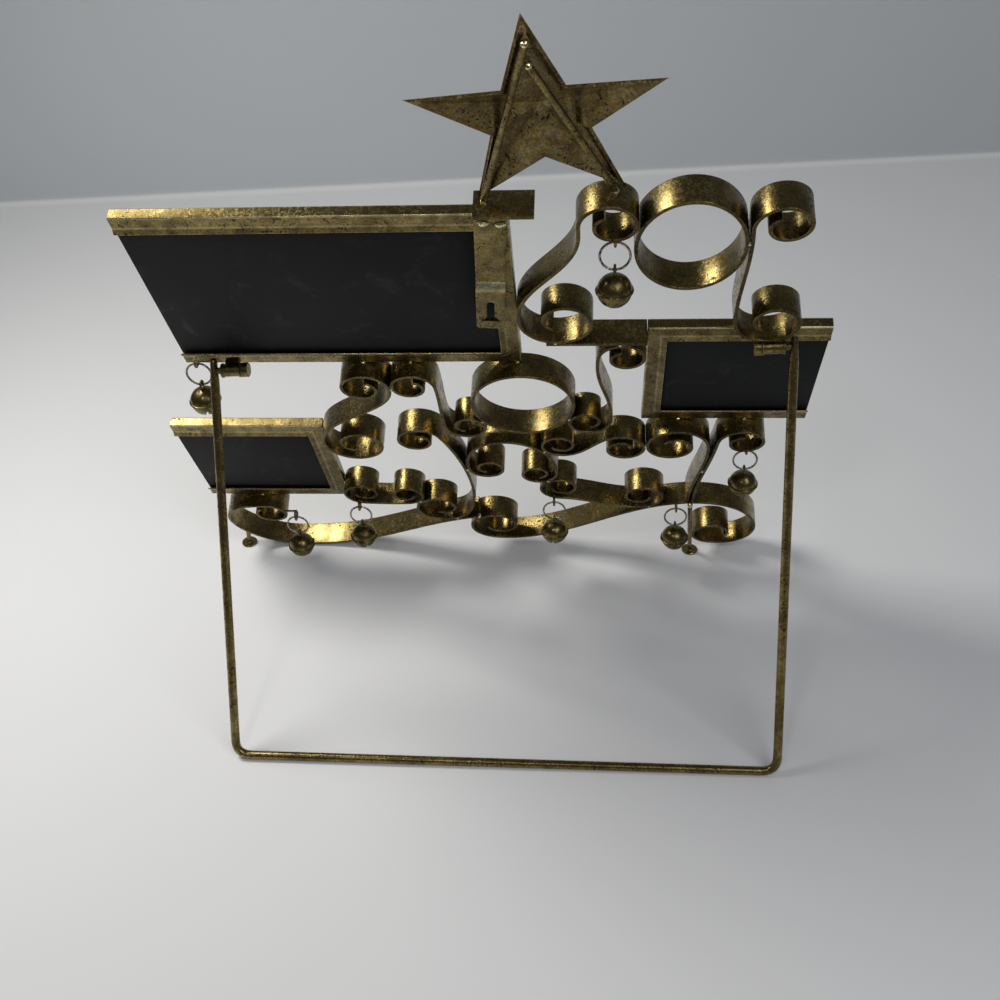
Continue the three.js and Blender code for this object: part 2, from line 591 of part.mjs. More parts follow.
// Bells: pressed halves crimped at the rim, with crossed slots below, a loop above and a loose pellet inside
const bellProfile = () => {
  const rimAngle = Math.asin(BELL_RIM_HEIGHT / 2 / BELL_RADIUS);
  const path = new THREE.Path();
  path.absarc(0, 0, BELL_RADIUS, -Math.PI / 2, -rimAngle);
  path.lineTo(BELL_RADIUS + BELL_RIM, -BELL_RIM_HEIGHT / 2);
  path.lineTo(BELL_RADIUS + BELL_RIM, BELL_RIM_HEIGHT / 2);
  path.absarc(0, 0, BELL_RADIUS, rimAngle, Math.PI / 2);
  const points = path.getPoints(2);
  points[0].x = 0;
  points.at(-1).x = 0;
  return points;
};
const bellShell = () => {
  const outside = new THREE.LatheGeometry(bellProfile(), 14).rotateX(Math.PI / 2);
  const inside = new THREE.SphereGeometry(BELL_RADIUS - BELL_WALL, 12, 6).rotateX(Math.PI / 2);
  const slot = (across, deep) => box(across, deep, BELL_RADIUS, 0, 0, -BELL_SLOT_DROP - BELL_RADIUS / 2);
  const long = 2 * (BELL_RADIUS + BELL_RIM);
  const hollow = cut(outside, inside, slot(long, BELL_SLOT), slot(BELL_SLOT, long));
  const loop = new THREE.TorusGeometry(BELL_LOOP, BELL_LOOP_WIRE, 5, 10).rotateY(Math.PI / 2);
  return join(hollow, loop.translate(0, 0, BELL_RADIUS + BELL_LOOP - BELL_LOOP_SINK));
};

// Each bell hangs by its ring from an eye, plumb below it
const ringTop = -(EYE_RADIUS - EYE_WIRE - RING_WIRE - GAP);
const ringMiddle = ringTop - RING_RADIUS;
const loopMiddle = ringMiddle - RING_RADIUS - (BELL_LOOP - BELL_LOOP_WIRE - RING_WIRE - GAP);
const bellMiddle = loopMiddle - (BELL_RADIUS + BELL_LOOP - BELL_LOOP_SINK);
const pelletRest = -(BELL_RADIUS - BELL_WALL - BELL_PELLET - GAP);
const bellEyes = [
  scrollEyes.scroll_upper_left,
  frameEye,
  scrollEyes.base_strip_left,
  scrollEyes.scroll_lower_left,
  scrollEyes.scroll_lower_wave,
  scrollEyes.base_strip_right,
  scrollEyes.scroll_stem_outer,
];
bellEyes.forEach((at, i) => {
  const hanging = new THREE.Group();
  hanging.position.copy(place(...at));
  model.add(hanging);
  const ring = new THREE.TorusGeometry(RING_RADIUS, RING_WIRE, 5, 18).rotateX(Math.PI / 2);
  add(hanging, `bell_ring_${i + 1}`, ring, steel()).position.z = ringMiddle;
  add(hanging, `bell_shell_${i + 1}`, bellShell(), brass()).position.z = bellMiddle;
  const pellet = new THREE.IcosahedronGeometry(BELL_PELLET, 1);
  add(hanging, `bell_pellet_${i + 1}`, pellet, steel()).position.z = bellMiddle + pelletRest;
});

// The origin is on the floor, in the middle of the footprint
const bounds = new THREE.Box3().setFromObject(model, true);
const centre = bounds.getCenter(new THREE.Vector3());
model.position.set(-centre.x, -centre.y, -bounds.min.z);

export default product;
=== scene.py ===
"""Visible pieces of a tabletop photo frame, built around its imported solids.

Rack coordinates: x to the right seen from behind, y up the lean, z towards the back, with z = 0 on the back
faces of the picture channels. Tables of places are in millimetres; every function works in metres.
"""
import math

import bmesh
import bpy
import numpy as np
from bpy.props import FloatProperty, FloatVectorProperty, PointerProperty
from bpy.types import Operator, Panel, PropertyGroup
from mathutils import Color, Matrix, Vector


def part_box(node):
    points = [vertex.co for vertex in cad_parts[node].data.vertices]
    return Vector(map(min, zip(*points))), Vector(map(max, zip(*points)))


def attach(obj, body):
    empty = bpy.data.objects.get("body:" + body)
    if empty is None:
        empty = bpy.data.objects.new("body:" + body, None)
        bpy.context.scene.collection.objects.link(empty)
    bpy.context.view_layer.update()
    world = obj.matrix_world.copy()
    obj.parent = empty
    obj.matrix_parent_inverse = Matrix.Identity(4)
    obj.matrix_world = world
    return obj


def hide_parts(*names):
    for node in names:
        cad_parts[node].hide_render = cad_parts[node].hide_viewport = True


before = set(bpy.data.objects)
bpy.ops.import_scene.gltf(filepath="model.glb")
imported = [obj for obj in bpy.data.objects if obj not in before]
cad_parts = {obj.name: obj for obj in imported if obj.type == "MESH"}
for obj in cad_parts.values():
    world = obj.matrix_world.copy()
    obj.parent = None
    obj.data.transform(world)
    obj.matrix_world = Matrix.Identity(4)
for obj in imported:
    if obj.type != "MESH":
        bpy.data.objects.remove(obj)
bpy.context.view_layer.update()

bl_info = {
    "name": "Tabletop photo frame",
    "version": (1, 0, 0),
    "blender": (4, 5, 0),
    "location": "View3D > Sidebar > Photo frame",
    "description": "Builds the visible pieces of a scrolled metal photo frame around its packed solids",
    "category": "Add Mesh",
}

MM = 0.001


def linear(hex_colour):
    """An sRGB hex colour as linear red, green and blue."""
    channels = [int(hex_colour[i:i + 2], 16) / 255 for i in (1, 3, 5)]
    return tuple(c / 12.92 if c <= 0.04045 else ((c + 0.055) / 1.055) ** 2.4 for c in channels)


def size(name, description, millimetres):
    """A length that a user may change, kept in metres."""
    return FloatProperty(name=name, description=description, default=millimetres * MM, unit="LENGTH",
                         precision=5)


def colour(name, description, hex_colour):
    """A colour that a user may change."""
    return FloatVectorProperty(name=name, description=description, default=linear(hex_colour),
                               subtype="COLOR", min=0, max=1)


def angle(name, description, degrees):
    """An angle that a user may change."""
    return FloatProperty(name=name, description=description, default=math.radians(degrees), subtype="ANGLE")


class RackSettings(PropertyGroup):
    """Sizes of the rack: strip, channel sheet, rods, strap and the star."""

    lean: angle("Lean", "Lean of the rack from upright", 24.83)
    gap: size("Gap", "Clearance between pieces that touch", 0.3)
    strip: size("Strip thickness", "Thickness of the strip metal", 1.6)
    strip_width: size("Strip width", "Width of the strip metal, front to back", 12.7)
    strip_edge: size("Strip edge", "Rounding of the strip's edges", 0.3)
    sheet: size("Sheet", "Thickness of the folded channel sheet", 0.8)
    fold: size("Fold", "Outer rounding of the channel's folds", 0.75)
    lip: size("Lip", "Width of the channel's front lip", 4.6)
    flange: size("Flange", "Width of the channel's back flange", 8.6)
    flare_run: size("Flare run", "Width of the flange's flared edge", 2.6)
    flare_rise: size("Flare rise", "Height of the flange's flared edge", 1.2)
    glass: size("Glass", "Thickness of the glass", 1.2)
    panel: size("Panel", "Thickness of the backing board", 1.5)
    glass_corner: size("Glass corner", "Rounding of the glass's corners", 0.6)
    panel_corner: size("Panel corner", "Rounding of the boards' corners", 1.2)
    sheet_ease: size("Sheet ease", "Easing of the edges of glass and boards", 0.2)
    seam: size("Mitre seam", "How far each rail stops short of its mitre", 0.12)
    rod: size("Rod radius", "Radius of the rods behind the star and in the feet", 1.3)
    pad: size("Pad radius", "Radius of the pads under the feet", 4.5)
    pad_height: size("Pad height", "Thickness of the pads under the feet", 1.2)
    strap_width: size("Strap width", "Width of the hanger strap", 12)
    strap_length: size("Strap length", "Length of the hanger strap", 73.8)
    strap_flat: size("Strap flat", "Length of the strap's lower end that stands off", 25.5)
    strap_slope: size("Strap slope", "Length of the step in the strap", 4.3)
    strap_joggle: size("Strap step", "Height of the step in the strap", 2.7)
    strap_tilt: angle("Strap tilt", "Turn of the strap on the rack", -3.5)
    keyhole_rise: size("Keyhole rise", "From the strap's foot to the keyhole", 5.2)
    keyhole_mouth: size("Keyhole mouth", "Width of the keyhole where a screw head goes in", 9.2)
    keyhole_slot: size("Keyhole slot", "Width of the keyhole's slot", 3.2)
    keyhole_height: size("Keyhole height", "Height of the keyhole", 14)
    star_tip: size("Star tip radius", "Middle of the star to its tips", 46.5)
    star_notch: size("Star notch radius", "Middle of the star to its notches", 18.5)
    star_height: size("Star height", "Height of the star's point over its rim", 9)
    star_sheet: size("Star sheet", "Thickness of the star, front to back", 1.2)
    star_turn: angle("Star turn", "Turn of the star on the rack", 5)
    bead: size("Weld bead", "Half the size of the weld beads", 1.25)


class BellSettings(PropertyGroup):
    """Sizes of the bells and of the rings that they hang by."""

    radius: size("Bell radius", "Outer radius of a bell", 7)
    wall: size("Bell wall", "Thickness of a bell's sheet", 0.6)
    rim: size("Rim reach", "How far the crimped rim stands out", 0.85)
    rim_height: size("Rim height", "Height of the crimped rim", 1.3)
    slot: size("Slot", "Width of the crossed slots", 1.6)
    slot_drop: size("Slot drop", "From a bell's middle down to the ends of its slots", 2.45)
    loop: size("Loop radius", "Radius of the bell's own loop", 2)
    loop_wire: size("Loop wire", "Radius of the loop's wire", 0.55)
    loop_rise: size("Loop rise", "From a bell's middle up to its loop's middle", 8.6)
    pellet: size("Pellet radius", "Radius of the loose pellet", 1.8)
    ring: size("Ring radius", "Radius of the jump rings", 5.85)
    ring_wire: size("Ring wire", "Radius of the jump rings' wire", 0.5)
    eye: size("Eye radius", "Radius of the wire eyes on the rack", 2.6)
    eye_wire: size("Eye wire", "Radius of the eyes' wire", 0.6)
    eye_rise: size("Eye rise", "From a ring's middle up to its eye's middle", 7.05)
    stem: size("Eye stem", "Length of the stem of the eye that stands off to the side", 7)


class StandSettings(PropertyGroup):
    """Sizes of the folding stand and its hinge."""

    wire: size("Wire radius", "Radius of the stand's wire", 2.13)
    lift: size("Bar lift", "Height of the bar's middle over the floor", 2.25)
    bend: size("Bend", "From a corner of the wire to where its bend starts", 8)
    flat: size("Flat", "Length of the flattened ends of the legs", 13)
    pin: size("Pin radius", "Radius of the hinge pins", 1.45)
    barrel: size("Barrel radius", "Outer radius of the hinge barrels", 3.3)
    bore: size("Bore radius", "Inner radius of the hinge barrels", 1.8)
    cap: size("Cap length", "Length of the caps on the hinge pins", 3.2)
    disc: size("Disc", "Width of the discs at the barrels' ends", 0.9)
    turned_edge: size("Turned edge", "Easing of the edges of barrels and caps", 0.15)
    saddle_edge: size("Saddle edge", "Rounding of the saddles' corners", 0.4)


class FinishSettings(PropertyGroup):
    """Colours of the finishes."""

    leaf: colour("Gold leaf", "Worn gold leaf", "#8e7839")
    # Pale leaf: the colour of the bright flakes, and also of the painted highlight on marked edges and of the
    # paler weld beads
    leaf_pale_and_highlight: colour("Pale leaf", "Bright flakes of the leaf", "#e6deb0")
    patina: colour("Patina", "Brown patina between the flakes", "#45371b")
    rust: colour("Rust", "Rust brown patina of the star", "#4f3417")
    ground: colour("Ground", "Dark ground where the leaf is rubbed away", "#17130a")
    brass: colour("Brass", "Pressed brass of the bells", "#7a6d43")
    brass_dark: colour("Dark brass", "Tarnish on the bells", "#1f1a10")
    steel: colour("Steel", "Wire of the jump rings", "#aba697")
    board: colour("Board", "Black paper on the backing boards", "#0c0e0d")
    board_worn: colour("Worn board", "Rubbed places on the boards", "#181b1a")
    glass: colour("Glass", "Tint of the glass", "#e9f2ef")


class StageSettings(PropertyGroup):
    """Camera, floor and light."""

    place: FloatVectorProperty(name="Camera place", description="The camera's place from the rack's origin",
                               subtype="XYZ", default=(-0.0564, 0.5451, 0.48129), unit="LENGTH")
    pitch: angle("Pitch", "How far the camera looks down", 39.7)
    yaw: angle("Yaw", "Turn of the camera about the upright", 5.65)
    roll: angle("Roll", "Turn of the camera about its own axis", 3.33)
    lens: FloatProperty(name="Lens", description="Focal length on a 36 mm sensor", default=44.173,
                        unit="CAMERA")
    wall_place: size("Wall place", "From the rack's origin forward to the wall's foot", 488)
    wall_turn: angle("Wall turn", "Turn of the wall about the upright", 4.6)
    wall_bend: size("Wall bend", "Radius between floor and wall", 8)
    wall_height: size("Wall height", "Height of the wall", 2600)
    reach: size("Reach", "How far the floor reaches to each side", 3000)
    floor: colour("Floor", "Pale matt floor", "#f0f0f0")
    wall: colour("Wall", "Matt wall behind", "#c6cacd")


class PhotoFrameSettings(PropertyGroup):
    """All settings of the photo frame."""

    rack: PointerProperty(type=RackSettings)
    bell: PointerProperty(type=BellSettings)
    stand: PointerProperty(type=StandSettings)
    finish: PointerProperty(type=FinishSettings)
    stage: PointerProperty(type=StageSettings)


# A shell is (points, faces, edge): edge is 1 where pale leaf paints a highlight on folds, corners and steps,
# -1 on sheared edges and 0 elsewhere
def grid_shell(points, wrap_rows=False, wrap_columns=False, caps=False, edge=None):
    """A surface from a grid of points, one quad between neighbours; caps close the first and last rows."""
    rows, columns = points.shape[:2]
    index = np.arange(rows * columns).reshape(rows, columns)
    if wrap_rows:
        index = np.vstack([index, index[:1]])
    if wrap_columns:
        index = np.hstack([index, index[:, :1]])
    quads = np.stack([index[:-1, :-1], index[:-1, 1:], index[1:, 1:], index[1:, :-1]], -1).reshape(-1, 4)
    faces = quads.tolist()
    if caps:
        faces.append(np.arange(columns)[::-1].tolist())
        faces.append((np.arange(columns) + (rows - 1) * columns).tolist())
    marks = np.zeros((rows, columns)) if edge is None else np.broadcast_to(edge, (rows, columns))
    return points.reshape(-1, 3), faces, marks.reshape(-1)


def make_piece(name, shells, material, body, replaced=(), sharp=40):
    """One object from shells, riding on a body and standing for CAD nodes."""
    starts = np.cumsum([0] + [len(points) for points, _, _ in shells])
    points = np.concatenate([shell[0] for shell in shells])
    faces = [[k + start for k in face] for shell, start in zip(shells, starts) for face in shell[1]]
    mesh = bpy.data.meshes.new(name)
    mesh.from_pydata(points.tolist(), [], faces)
    marks = mesh.attributes.new("edge", "FLOAT", "POINT")
    marks.data.foreach_set("value", np.concatenate([shell[2] for shell in shells]).astype(np.float32))
    work = bmesh.new()
    work.from_mesh(mesh)
    bmesh.ops.remove_doubles(work, verts=work.verts, dist=2e-6)
    bmesh.ops.recalc_face_normals(work, faces=work.faces)
    work.to_mesh(mesh)
    work.free()
    mesh.polygons.foreach_set("use_smooth", np.ones(len(mesh.polygons), dtype=bool))
    mesh.set_sharp_from_angle(angle=math.radians(sharp))
    mesh.materials.append(material)
    piece = bpy.data.objects.new(name, mesh)
    bpy.context.scene.collection.objects.link(piece)
    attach(piece, body)
    if replaced:
        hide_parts(*replaced)
    return piece


def thicken(piece, thickness, offset, ease):
    """Gives an open sheet its thickness and eases its edges."""
    solid = piece.modifiers.new("sheet", "SOLIDIFY")
    solid.thickness = thickness
    solid.offset = offset
    bevel = piece.modifiers.new("eased_edge", "BEVEL")
    bevel.width = ease
    bevel.segments = 2
    bevel.limit_method = "ANGLE"
    bevel.angle_limit = math.radians(50)


def unit(vectors):
    """Vectors drawn out to length one."""
    vectors = np.asarray(vectors, float)
    return vectors / np.linalg.norm(vectors, axis=-1, keepdims=True)


def quadratic(t, start, corner, end):
    """The curve (1 - t)^2 start + 2 (1 - t) t corner + t^2 end."""
    return (1 - t) ** 2 * start + 2 * (1 - t) * t * corner + t ** 2 * end


def eased(share):
    """The cubic 3 share^2 - 2 share^3, level at 0 and 1."""
    return share ** 2 * (3 - 2 * share)


def square_to(axis):
    """Two unit vectors square to an axis and to each other."""
    side = unit(np.cross(axis, [0.0, 0.0, 1.0] if abs(axis[2]) < 0.9 else [1.0, 0.0, 0.0]))
    return side, np.cross(axis, side)


def node_middle(node):
    """Middle of a CAD node's box."""
    low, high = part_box(node)
    return (np.array(low) + np.array(high)) / 2


# Places on the rack, in millimetres: the channels, with open -1 to the left and 1 to the right; tie bar and
# cap plate from end to end; ovals as middle and half sizes; the star's middle; its rods from foot to tip; the
# strap's foot, the depth of its seat and the places of its beads
LARGE = {"left": -130.35, "bottom": 193.2, "width": 154.4, "height": 104.4, "open": -1}
UPPER = {"left": 79.4, "bottom": 140.8, "width": 78.2, "height": 79.0, "open": 1}
LOWER = {"left": -157.6, "bottom": 53.9, "width": 78.2, "height": 79.0, "open": -1}
CHANNELS = {"large": LARGE, "upper": UPPER, "lower": LOWER}
TIE = [(36.0, 218.6), (79.1, 218.6)]
CAP = [(11.5, 304.4), (34.3, 304.4)]
OVALS = {"oval_upper": (92.75, 285.4, 20.7, 26.3), "oval_lower": (23.3, 166.0, 23.7, 26.1)}
STAR_AT = (37.4, 345.5, -1.5)
STAR_RODS = {"left": ((15.5, 305.5), (34.3, 381)), "right": ((64, 310.3), (35, 372))}
STRAP_AT = (13, 229.5)
STRAP_SEAT = 2.3
STRAP_WELDS = ((14.6, 296.4), (21.2, 295.6))

# Feet: the rod's top on the rack, and its pad on the floor
FEET = {"left": ((-148.2, 18.2, -2.4), (-149.4, 5.4)), "right": ((108.4, 61.6, 9.1), (112.5, 9))}

# Hinge: its line on the rack; barrels as start, length, saddle's front and saddle's height; caps as start and
# heading; pins from leg to cap; legs as place on the hinge, reach above it, and bar end on the floor
HINGE = ((-108, 199, 7.5), (133, 216.4, 7.5))
BARRELS = {"left": (-111.25, 9.0, 1.5, 3.0), "right": (127.65, 9.6, 0.3, 4.0)}
CAPS = {"left": (-98.75, -1), "right": (124.15, 1)}
PINS = ((-115, -99.85), (141, 125.25))
LEGS = ((-115, 5.9, (-120.3, 166)), (141, 4.6, (145, 169.4)))

# Scrolls: stops, each a curl as (radius, inner radius, turns, starting angle, x, y) or a plain point as
# (x, y, run, climb), and how far each bend between them pulls along the headings at its ends
SCROLLS = {
    "scroll_upper_left": (
        ((12.6, 5.2, -1.2, 190, 62.6, 298.3), (17.5, 6, 1.15, 180, 42.65, 235.4)), ((26, 26),)),
    "scroll_upper_right": (
        ((12.2, 5, -1.2, 190, 126.9, 297), (15.2, 6, 1.15, 180, 129.6, 234)), ((20, 20),)),
    "scroll_middle_left": (
        ((12.5, 5, 1.2, 0, -50.3, 181.2), (16.5, 6, 1.2, 180, -61.8, 127)), ((22, 26),)),
    "scroll_middle_centre": (
        ((11.3, 4.6, 1.2, 0, -27.6, 182.2), (11, 4.6, 1.2, 180, -4.4, 145.8)), ((14, 14),)),
    "scroll_middle_right": (
        ((11.5, 4.6, -1.2, 180, 69.7, 206.7), (11, 4.6, -1.2, 0, 53.4, 150)), ((24, 24),)),
    "scroll_middle_low": (
        ((10, 4.2, -1.2, 270, 39.9, 126.1), (12, 4.6, -1.2, 90, 70.9, 122.6)), ((14, 14),)),
    "scroll_stem_inner": (
        ((17, 5.5, 1.4, 0, 95.9, 124.8), (106.8, 61.6, 0, -1)), ((20, 26),)),
    "scroll_stem_outer": (
        ((12.5, 4.6, -1.25, 180, 129.7, 128.8), (109.6, 61.7, 0, -1)), ((26, 26),)),
    "scroll_lower_wave": (
        ((12, 4.4, -1.25, 270, 39.3, 77.9), (13, 4.6, 1.25, 270, 82, 68.1)), ((16, 16),)),
    "scroll_lower_arch": (
        ((10, 4, 1.2, 180, 2.2, 100.8), (10, 4, -1.2, 0, 27.3, 94.4)), ((42, 42),)),
    "scroll_lower_tall": (
        ((12, 4.6, 1.2, 20, -31, 130.5), (16.5, 5.5, -1.25, -20, -28, 52.65)), ((24, 24),)),
    "scroll_lower_left": (
        ((11.5, 4, -1.25, 270, -68.3, 70), (10, 4, 1.25, 270, -45, 68.1)), ((8, 8),)),
    "base_strip_left": (
        ((9.8, 7, -0.9, 90, -126.4, 42.9), (-115.26, 1.42, 1, 0), (-7.95, 40.85, 1, 0.25)),
        ((44.1, 35), (47.15, 40.77))),
    "base_strip_right": (
        ((17, 6, -1.2, 270, 2.5, 29.5), (110.61, 60.62, 1, 0), (13, 7.5, -0.8, 270, 124.3, 20.5)),
        ((39.99, 38.7), (42.4, 33.6))),
}
STEPS_PER_TURN = 72
BEND_STEPS = 48


def settings():
    """The photo frame's settings in this scene."""
    return bpy.context.scene.photo_frame


def rack_front():
    """Depth of the rack's front face: lip, glass, board and flange with their gaps."""
    rack = settings().rack
    return -(3 * rack.gap + 2 * rack.sheet + rack.glass + rack.panel)


def rack_axes():
    """Rows are the rack's x, y and z axes in the frame."""
    lean = settings().rack.lean
    return np.array([
        [-1, 0, 0],
        [0, math.sin(lean), math.cos(lean)],
        [0, math.cos(lean), -math.sin(lean)],
    ])


def leaned(points):
    """Rack coordinates to the frame's own: turned by the lean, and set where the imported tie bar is."""
    rack = settings().rack
    tie = np.array([(TIE[0][0] + TIE[1][0]) / 2 * MM, TIE[0][1] * MM, rack_front() + rack.strip_width / 2])
    return (np.asarray(points) - tie) @ rack_axes() + node_middle("tie_bar")


def stood(x, y, z):
    """A place over the floor, from x to the right seen from behind and y to the back of the rack's origin."""
    origin = leaned([0, 0, 0])
    return np.array([origin[0] - x, origin[1] + y, z])


def curl(values):
    """Points of a spiral whose radius falls evenly from the outer to the inner one, and its first heading."""
    radius, inner, turns, start, x, y = values
    steps = int(round(abs(turns) * STEPS_PER_TURN))
    share = np.linspace(0, 1, steps + 1)
    turn = math.radians(start) + 2 * math.pi * turns * share
    reach = radius + (inner - radius) * share
    points = np.stack([x + reach * np.cos(turn), y + reach * np.sin(turn)], -1) * MM
    slope = (inner - radius) / (2 * math.pi * abs(turns))
    side = math.copysign(radius, turns)
    outward = np.array([math.cos(turn[0]), math.sin(turn[0])])
    along = np.array([-outward[1], outward[0]])
    return points, unit(slope * outward + side * along)


def stop_values(stop, leaving):
    """Place and heading at a stop: a plain point's own, or those at a curl's outer end."""
    if len(stop) == 4:
        return np.array(stop[:2]) * MM, unit(stop[2:])
    points, heading = curl(stop)
    return points[0], -heading if leaving else heading


def scroll_path(stops, pulls):
    """Out of the first curl, along a cubic bend to each further stop, and into the last curl or plain end."""
    parts = [curl(stops[0])[0][::-1]]
    t = np.linspace(0, 1, BEND_STEPS + 1)[1:, None]
    for first, last, (pull_first, pull_last) in zip(stops, stops[1:], pulls):
        start, leave = stop_values(first, True)
        end, arrive = stop_values(last, False)
        out = start + leave * pull_first * MM
        back = end - arrive * pull_last * MM
        near = (1 - t) ** 3 * start + 3 * (1 - t) ** 2 * t * out
        far = 3 * (1 - t) * t ** 2 * back + t ** 3 * end
        parts.append(near + far)
    if len(stops[-1]) == 6:
        parts.append(curl(stops[-1])[0][1:])
    return np.concatenate(parts)


def oval_path(x, y, across, up, steps=120):
    """An ellipse, without its first point repeated."""
    turn = np.linspace(0, 2 * math.pi, steps, endpoint=False)
    return np.stack([x + across * np.cos(turn), y + up * np.sin(turn)], -1) * MM


def strip_paths():
    """Every strip's path on the rack: name to (points, closed)."""
    paths = {name: (scroll_path(*values), False) for name, values in SCROLLS.items()}
    paths.update({name: (oval_path(*values), True) for name, values in OVALS.items()})
    paths["tie_bar"] = (np.linspace(*np.array(TIE), 12) * MM, False)
    paths["cap_plate"] = (np.linspace(*np.array(CAP), 8) * MM, False)
    return paths


def rounded_outline(corners, radius, steps=4):
    """A closed outline with its corners rounded by arcs, and a mark of 1 on the arcs and 0 at their ends.

    Each arc is the quadratic curve from one radius before the corner to one radius after it."""
    corners = np.asarray(corners, float)
    before = np.roll(corners, 1, axis=0) - corners
    after = np.roll(corners, -1, axis=0) - corners
    short = 0.45 * np.minimum(np.linalg.norm(before, axis=1), np.linalg.norm(after, axis=1))
    reach = np.minimum(np.broadcast_to(radius, short.shape), short)[:, None]
    start = corners + unit(before) * reach
    end = corners + unit(after) * reach
    t = np.linspace(0, 1, steps + 1)[None, :, None]
    arcs = quadratic(t, start[:, None], corners[:, None], end[:, None])
    mark = np.sin(math.pi * np.linspace(0, 1, steps + 1))
    return arcs.reshape(-1, 2), np.tile(mark, len(corners))


def path_normals(path, closed):
    """Unit normals to the left of a path, from central differences of its points."""
    if closed:
        run = np.roll(path, -1, axis=0) - np.roll(path, 1, axis=0)
    else:
        run = np.gradient(path, axis=0)
    run = unit(run)
    return np.stack([-run[:, 1], run[:, 0]], -1)


def strip_shell(path, closed):
    """A strip on edge: its rounded section carried along the path, square to it."""
    rack = settings().rack
    half = rack.strip / 2
    front = rack_front()
    back = front + rack.strip_width
    corners = [(-half, front), (half, front), (half, back), (-half, back)]
    outline, _ = rounded_outline(corners, rack.strip_edge)
    rising = np.linspace(0, -1, len(outline) // 4)
    mark = np.concatenate([rising, rising[::-1], rising, rising[::-1]])
    normals = path_normals(path, closed)
    flat = path[:, None, :] + normals[:, None, :] * outline[None, :, :1]
    depth = np.broadcast_to(outline[None, :, 1:], flat.shape[:2] + (1,))
    points = leaned(np.concatenate([flat, depth], -1))
    return grid_shell(points, wrap_rows=closed, wrap_columns=True, caps=not closed, edge=mark)


def rounded_ends(path, radius):
    """A path with close points near its ends, and the share of the radius at each, a quarter ellipse long."""
    path = np.asarray(path, float)
    share = np.array([0, 0.12, 0.4, 0.75])
    half = 0.5 * radius
    first = unit(path[1] - path[0]) * half
    last = unit(path[-2] - path[-1]) * half
    head = path[0] + first * share[:, None]
    tail = path[-1] + last * share[::-1, None]
    full = np.concatenate([head, [path[0] + first], path[1:-1], [path[-1] + last], tail])
    swell = np.sqrt(1 - (1 - share) ** 2)
    swell[0] = 0.25
    return full, np.concatenate([swell, np.ones(len(full) - 2 * len(share)), swell[::-1]])


def tube_shell(path, across, radius, scale, sides=20):
    """A wire: an ellipse carried along a path, scaled at each point along its normal and along across."""
    run = unit(np.gradient(path, axis=0))
    side = unit(np.cross(run, across))
    upright = np.cross(side, run)
    turn = np.linspace(0, 2 * math.pi, sides, endpoint=False)[None, :, None]
    ellipse = np.cos(turn) * (side * scale[:, :1])[:, None] + np.sin(turn) * (upright * scale[:, 1:])[:, None]
    return grid_shell(path[:, None] + radius * ellipse, wrap_columns=True, caps=True)


def rod_shell(start, end, radius, steps=12):
    """A straight round rod with rounded ends."""
    start, end = np.asarray(start, float), np.asarray(end, float)
    along = end - start
    path, swell = rounded_ends(start + np.linspace(0, 1, steps)[:, None] * along, radius)
    across = unit(np.cross(along, [0.31, 0.77, 0.55]))
    return tube_shell(path, across, radius, np.stack([swell, swell], -1))


def lathe_shell(profile, middle, axis, sides=40, closed=False):
    """A profile of (radius, height) turned about an axis; a closed one joins its last point to its first."""
    profile = np.asarray(profile, float)
    axis = unit(axis)
    side, upright = square_to(axis)
    turn = np.linspace(0, 2 * math.pi, sides, endpoint=False)
    circle = np.cos(turn)[:, None] * side + np.sin(turn)[:, None] * upright
    points = profile[:, :1, None] * circle[None] + profile[:, 1:, None] * axis[None, None]
    return grid_shell(np.asarray(middle) + points, wrap_rows=closed, wrap_columns=True)


def loop_shell(middle, normal, radius, wire, opening=0.0, start=0.0, sides=14, steps=56):
    """A wire ring about its normal, left open by an angle so that its cut ends show."""
    normal = unit(normal)
    side, upright = square_to(normal)
    turn = start + opening / 2 + np.linspace(0, 2 * math.pi - opening, steps, endpoint=opening > 0)
    spoke = np.cos(turn)[:, None] * side + np.sin(turn)[:, None] * upright
    section = np.linspace(0, 2 * math.pi, sides, endpoint=False)
    reach = radius + wire * np.cos(section)
    points = spoke[:, None] * reach[None, :, None] + wire * np.sin(section)[None, :, None] * normal
    points += np.asarray(middle)
    return grid_shell(points, wrap_rows=opening == 0, wrap_columns=True, caps=opening > 0)


def bead_shell(middle, axes, half_sizes, phase):
    """A weld bead: an ellipsoid whose radius swells and dips in slow waves around it and along it."""
    rise = np.linspace(0, math.pi, 13)[:, None]
    turn = np.linspace(0, 2 * math.pi, 18, endpoint=False)[None]
    wave = np.sin(3 * turn + phase) * np.sin(2 * rise + 2.1 * phase) + 0.6 * np.sin(2 * turn - 1.7 * phase)
    reach = 1 + 0.13 * np.sin(rise) * wave
    ball = np.stack([
        reach * np.sin(rise) * np.cos(turn),
        reach * np.sin(rise) * np.sin(turn),
        np.broadcast_to(np.cos(rise), reach.shape),
    ], -1)
    sized = ball * np.asarray(half_sizes)
    return grid_shell(np.asarray(middle) + sized @ np.asarray(axes), wrap_columns=True)


# Materials: choices of nodes for a smooth step, colours, a product, and a product with a sum
SMOOTH = {"interpolation_type": "SMOOTHSTEP"}
COLOURS = {"data_type": "RGBA"}
TIMES = {"operation": "MULTIPLY", "use_clamp": True}
TIMES_PLUS = {"operation": "MULTIPLY_ADD", "use_clamp": True}


def add_node(tree, kind, values=None, output=0, **choices):
    """Adds a node with its choices, sets or links its inputs by name or number, and gives one output."""
    node = tree.nodes.new(kind)
    for key, value in choices.items():
        setattr(node, key, value)
    for key, value in (values or {}).items():
        if isinstance(value, bpy.types.NodeSocket):
            tree.links.new(value, node.inputs[key])
        else:
            node.inputs[key].default_value = (*value, 1) if isinstance(value, Color) else value
    return node.outputs[output] if len(node.outputs) else None


def per(millimetres):
    """Texture scale whose features are about this size."""
    return 1 / (millimetres * MM)


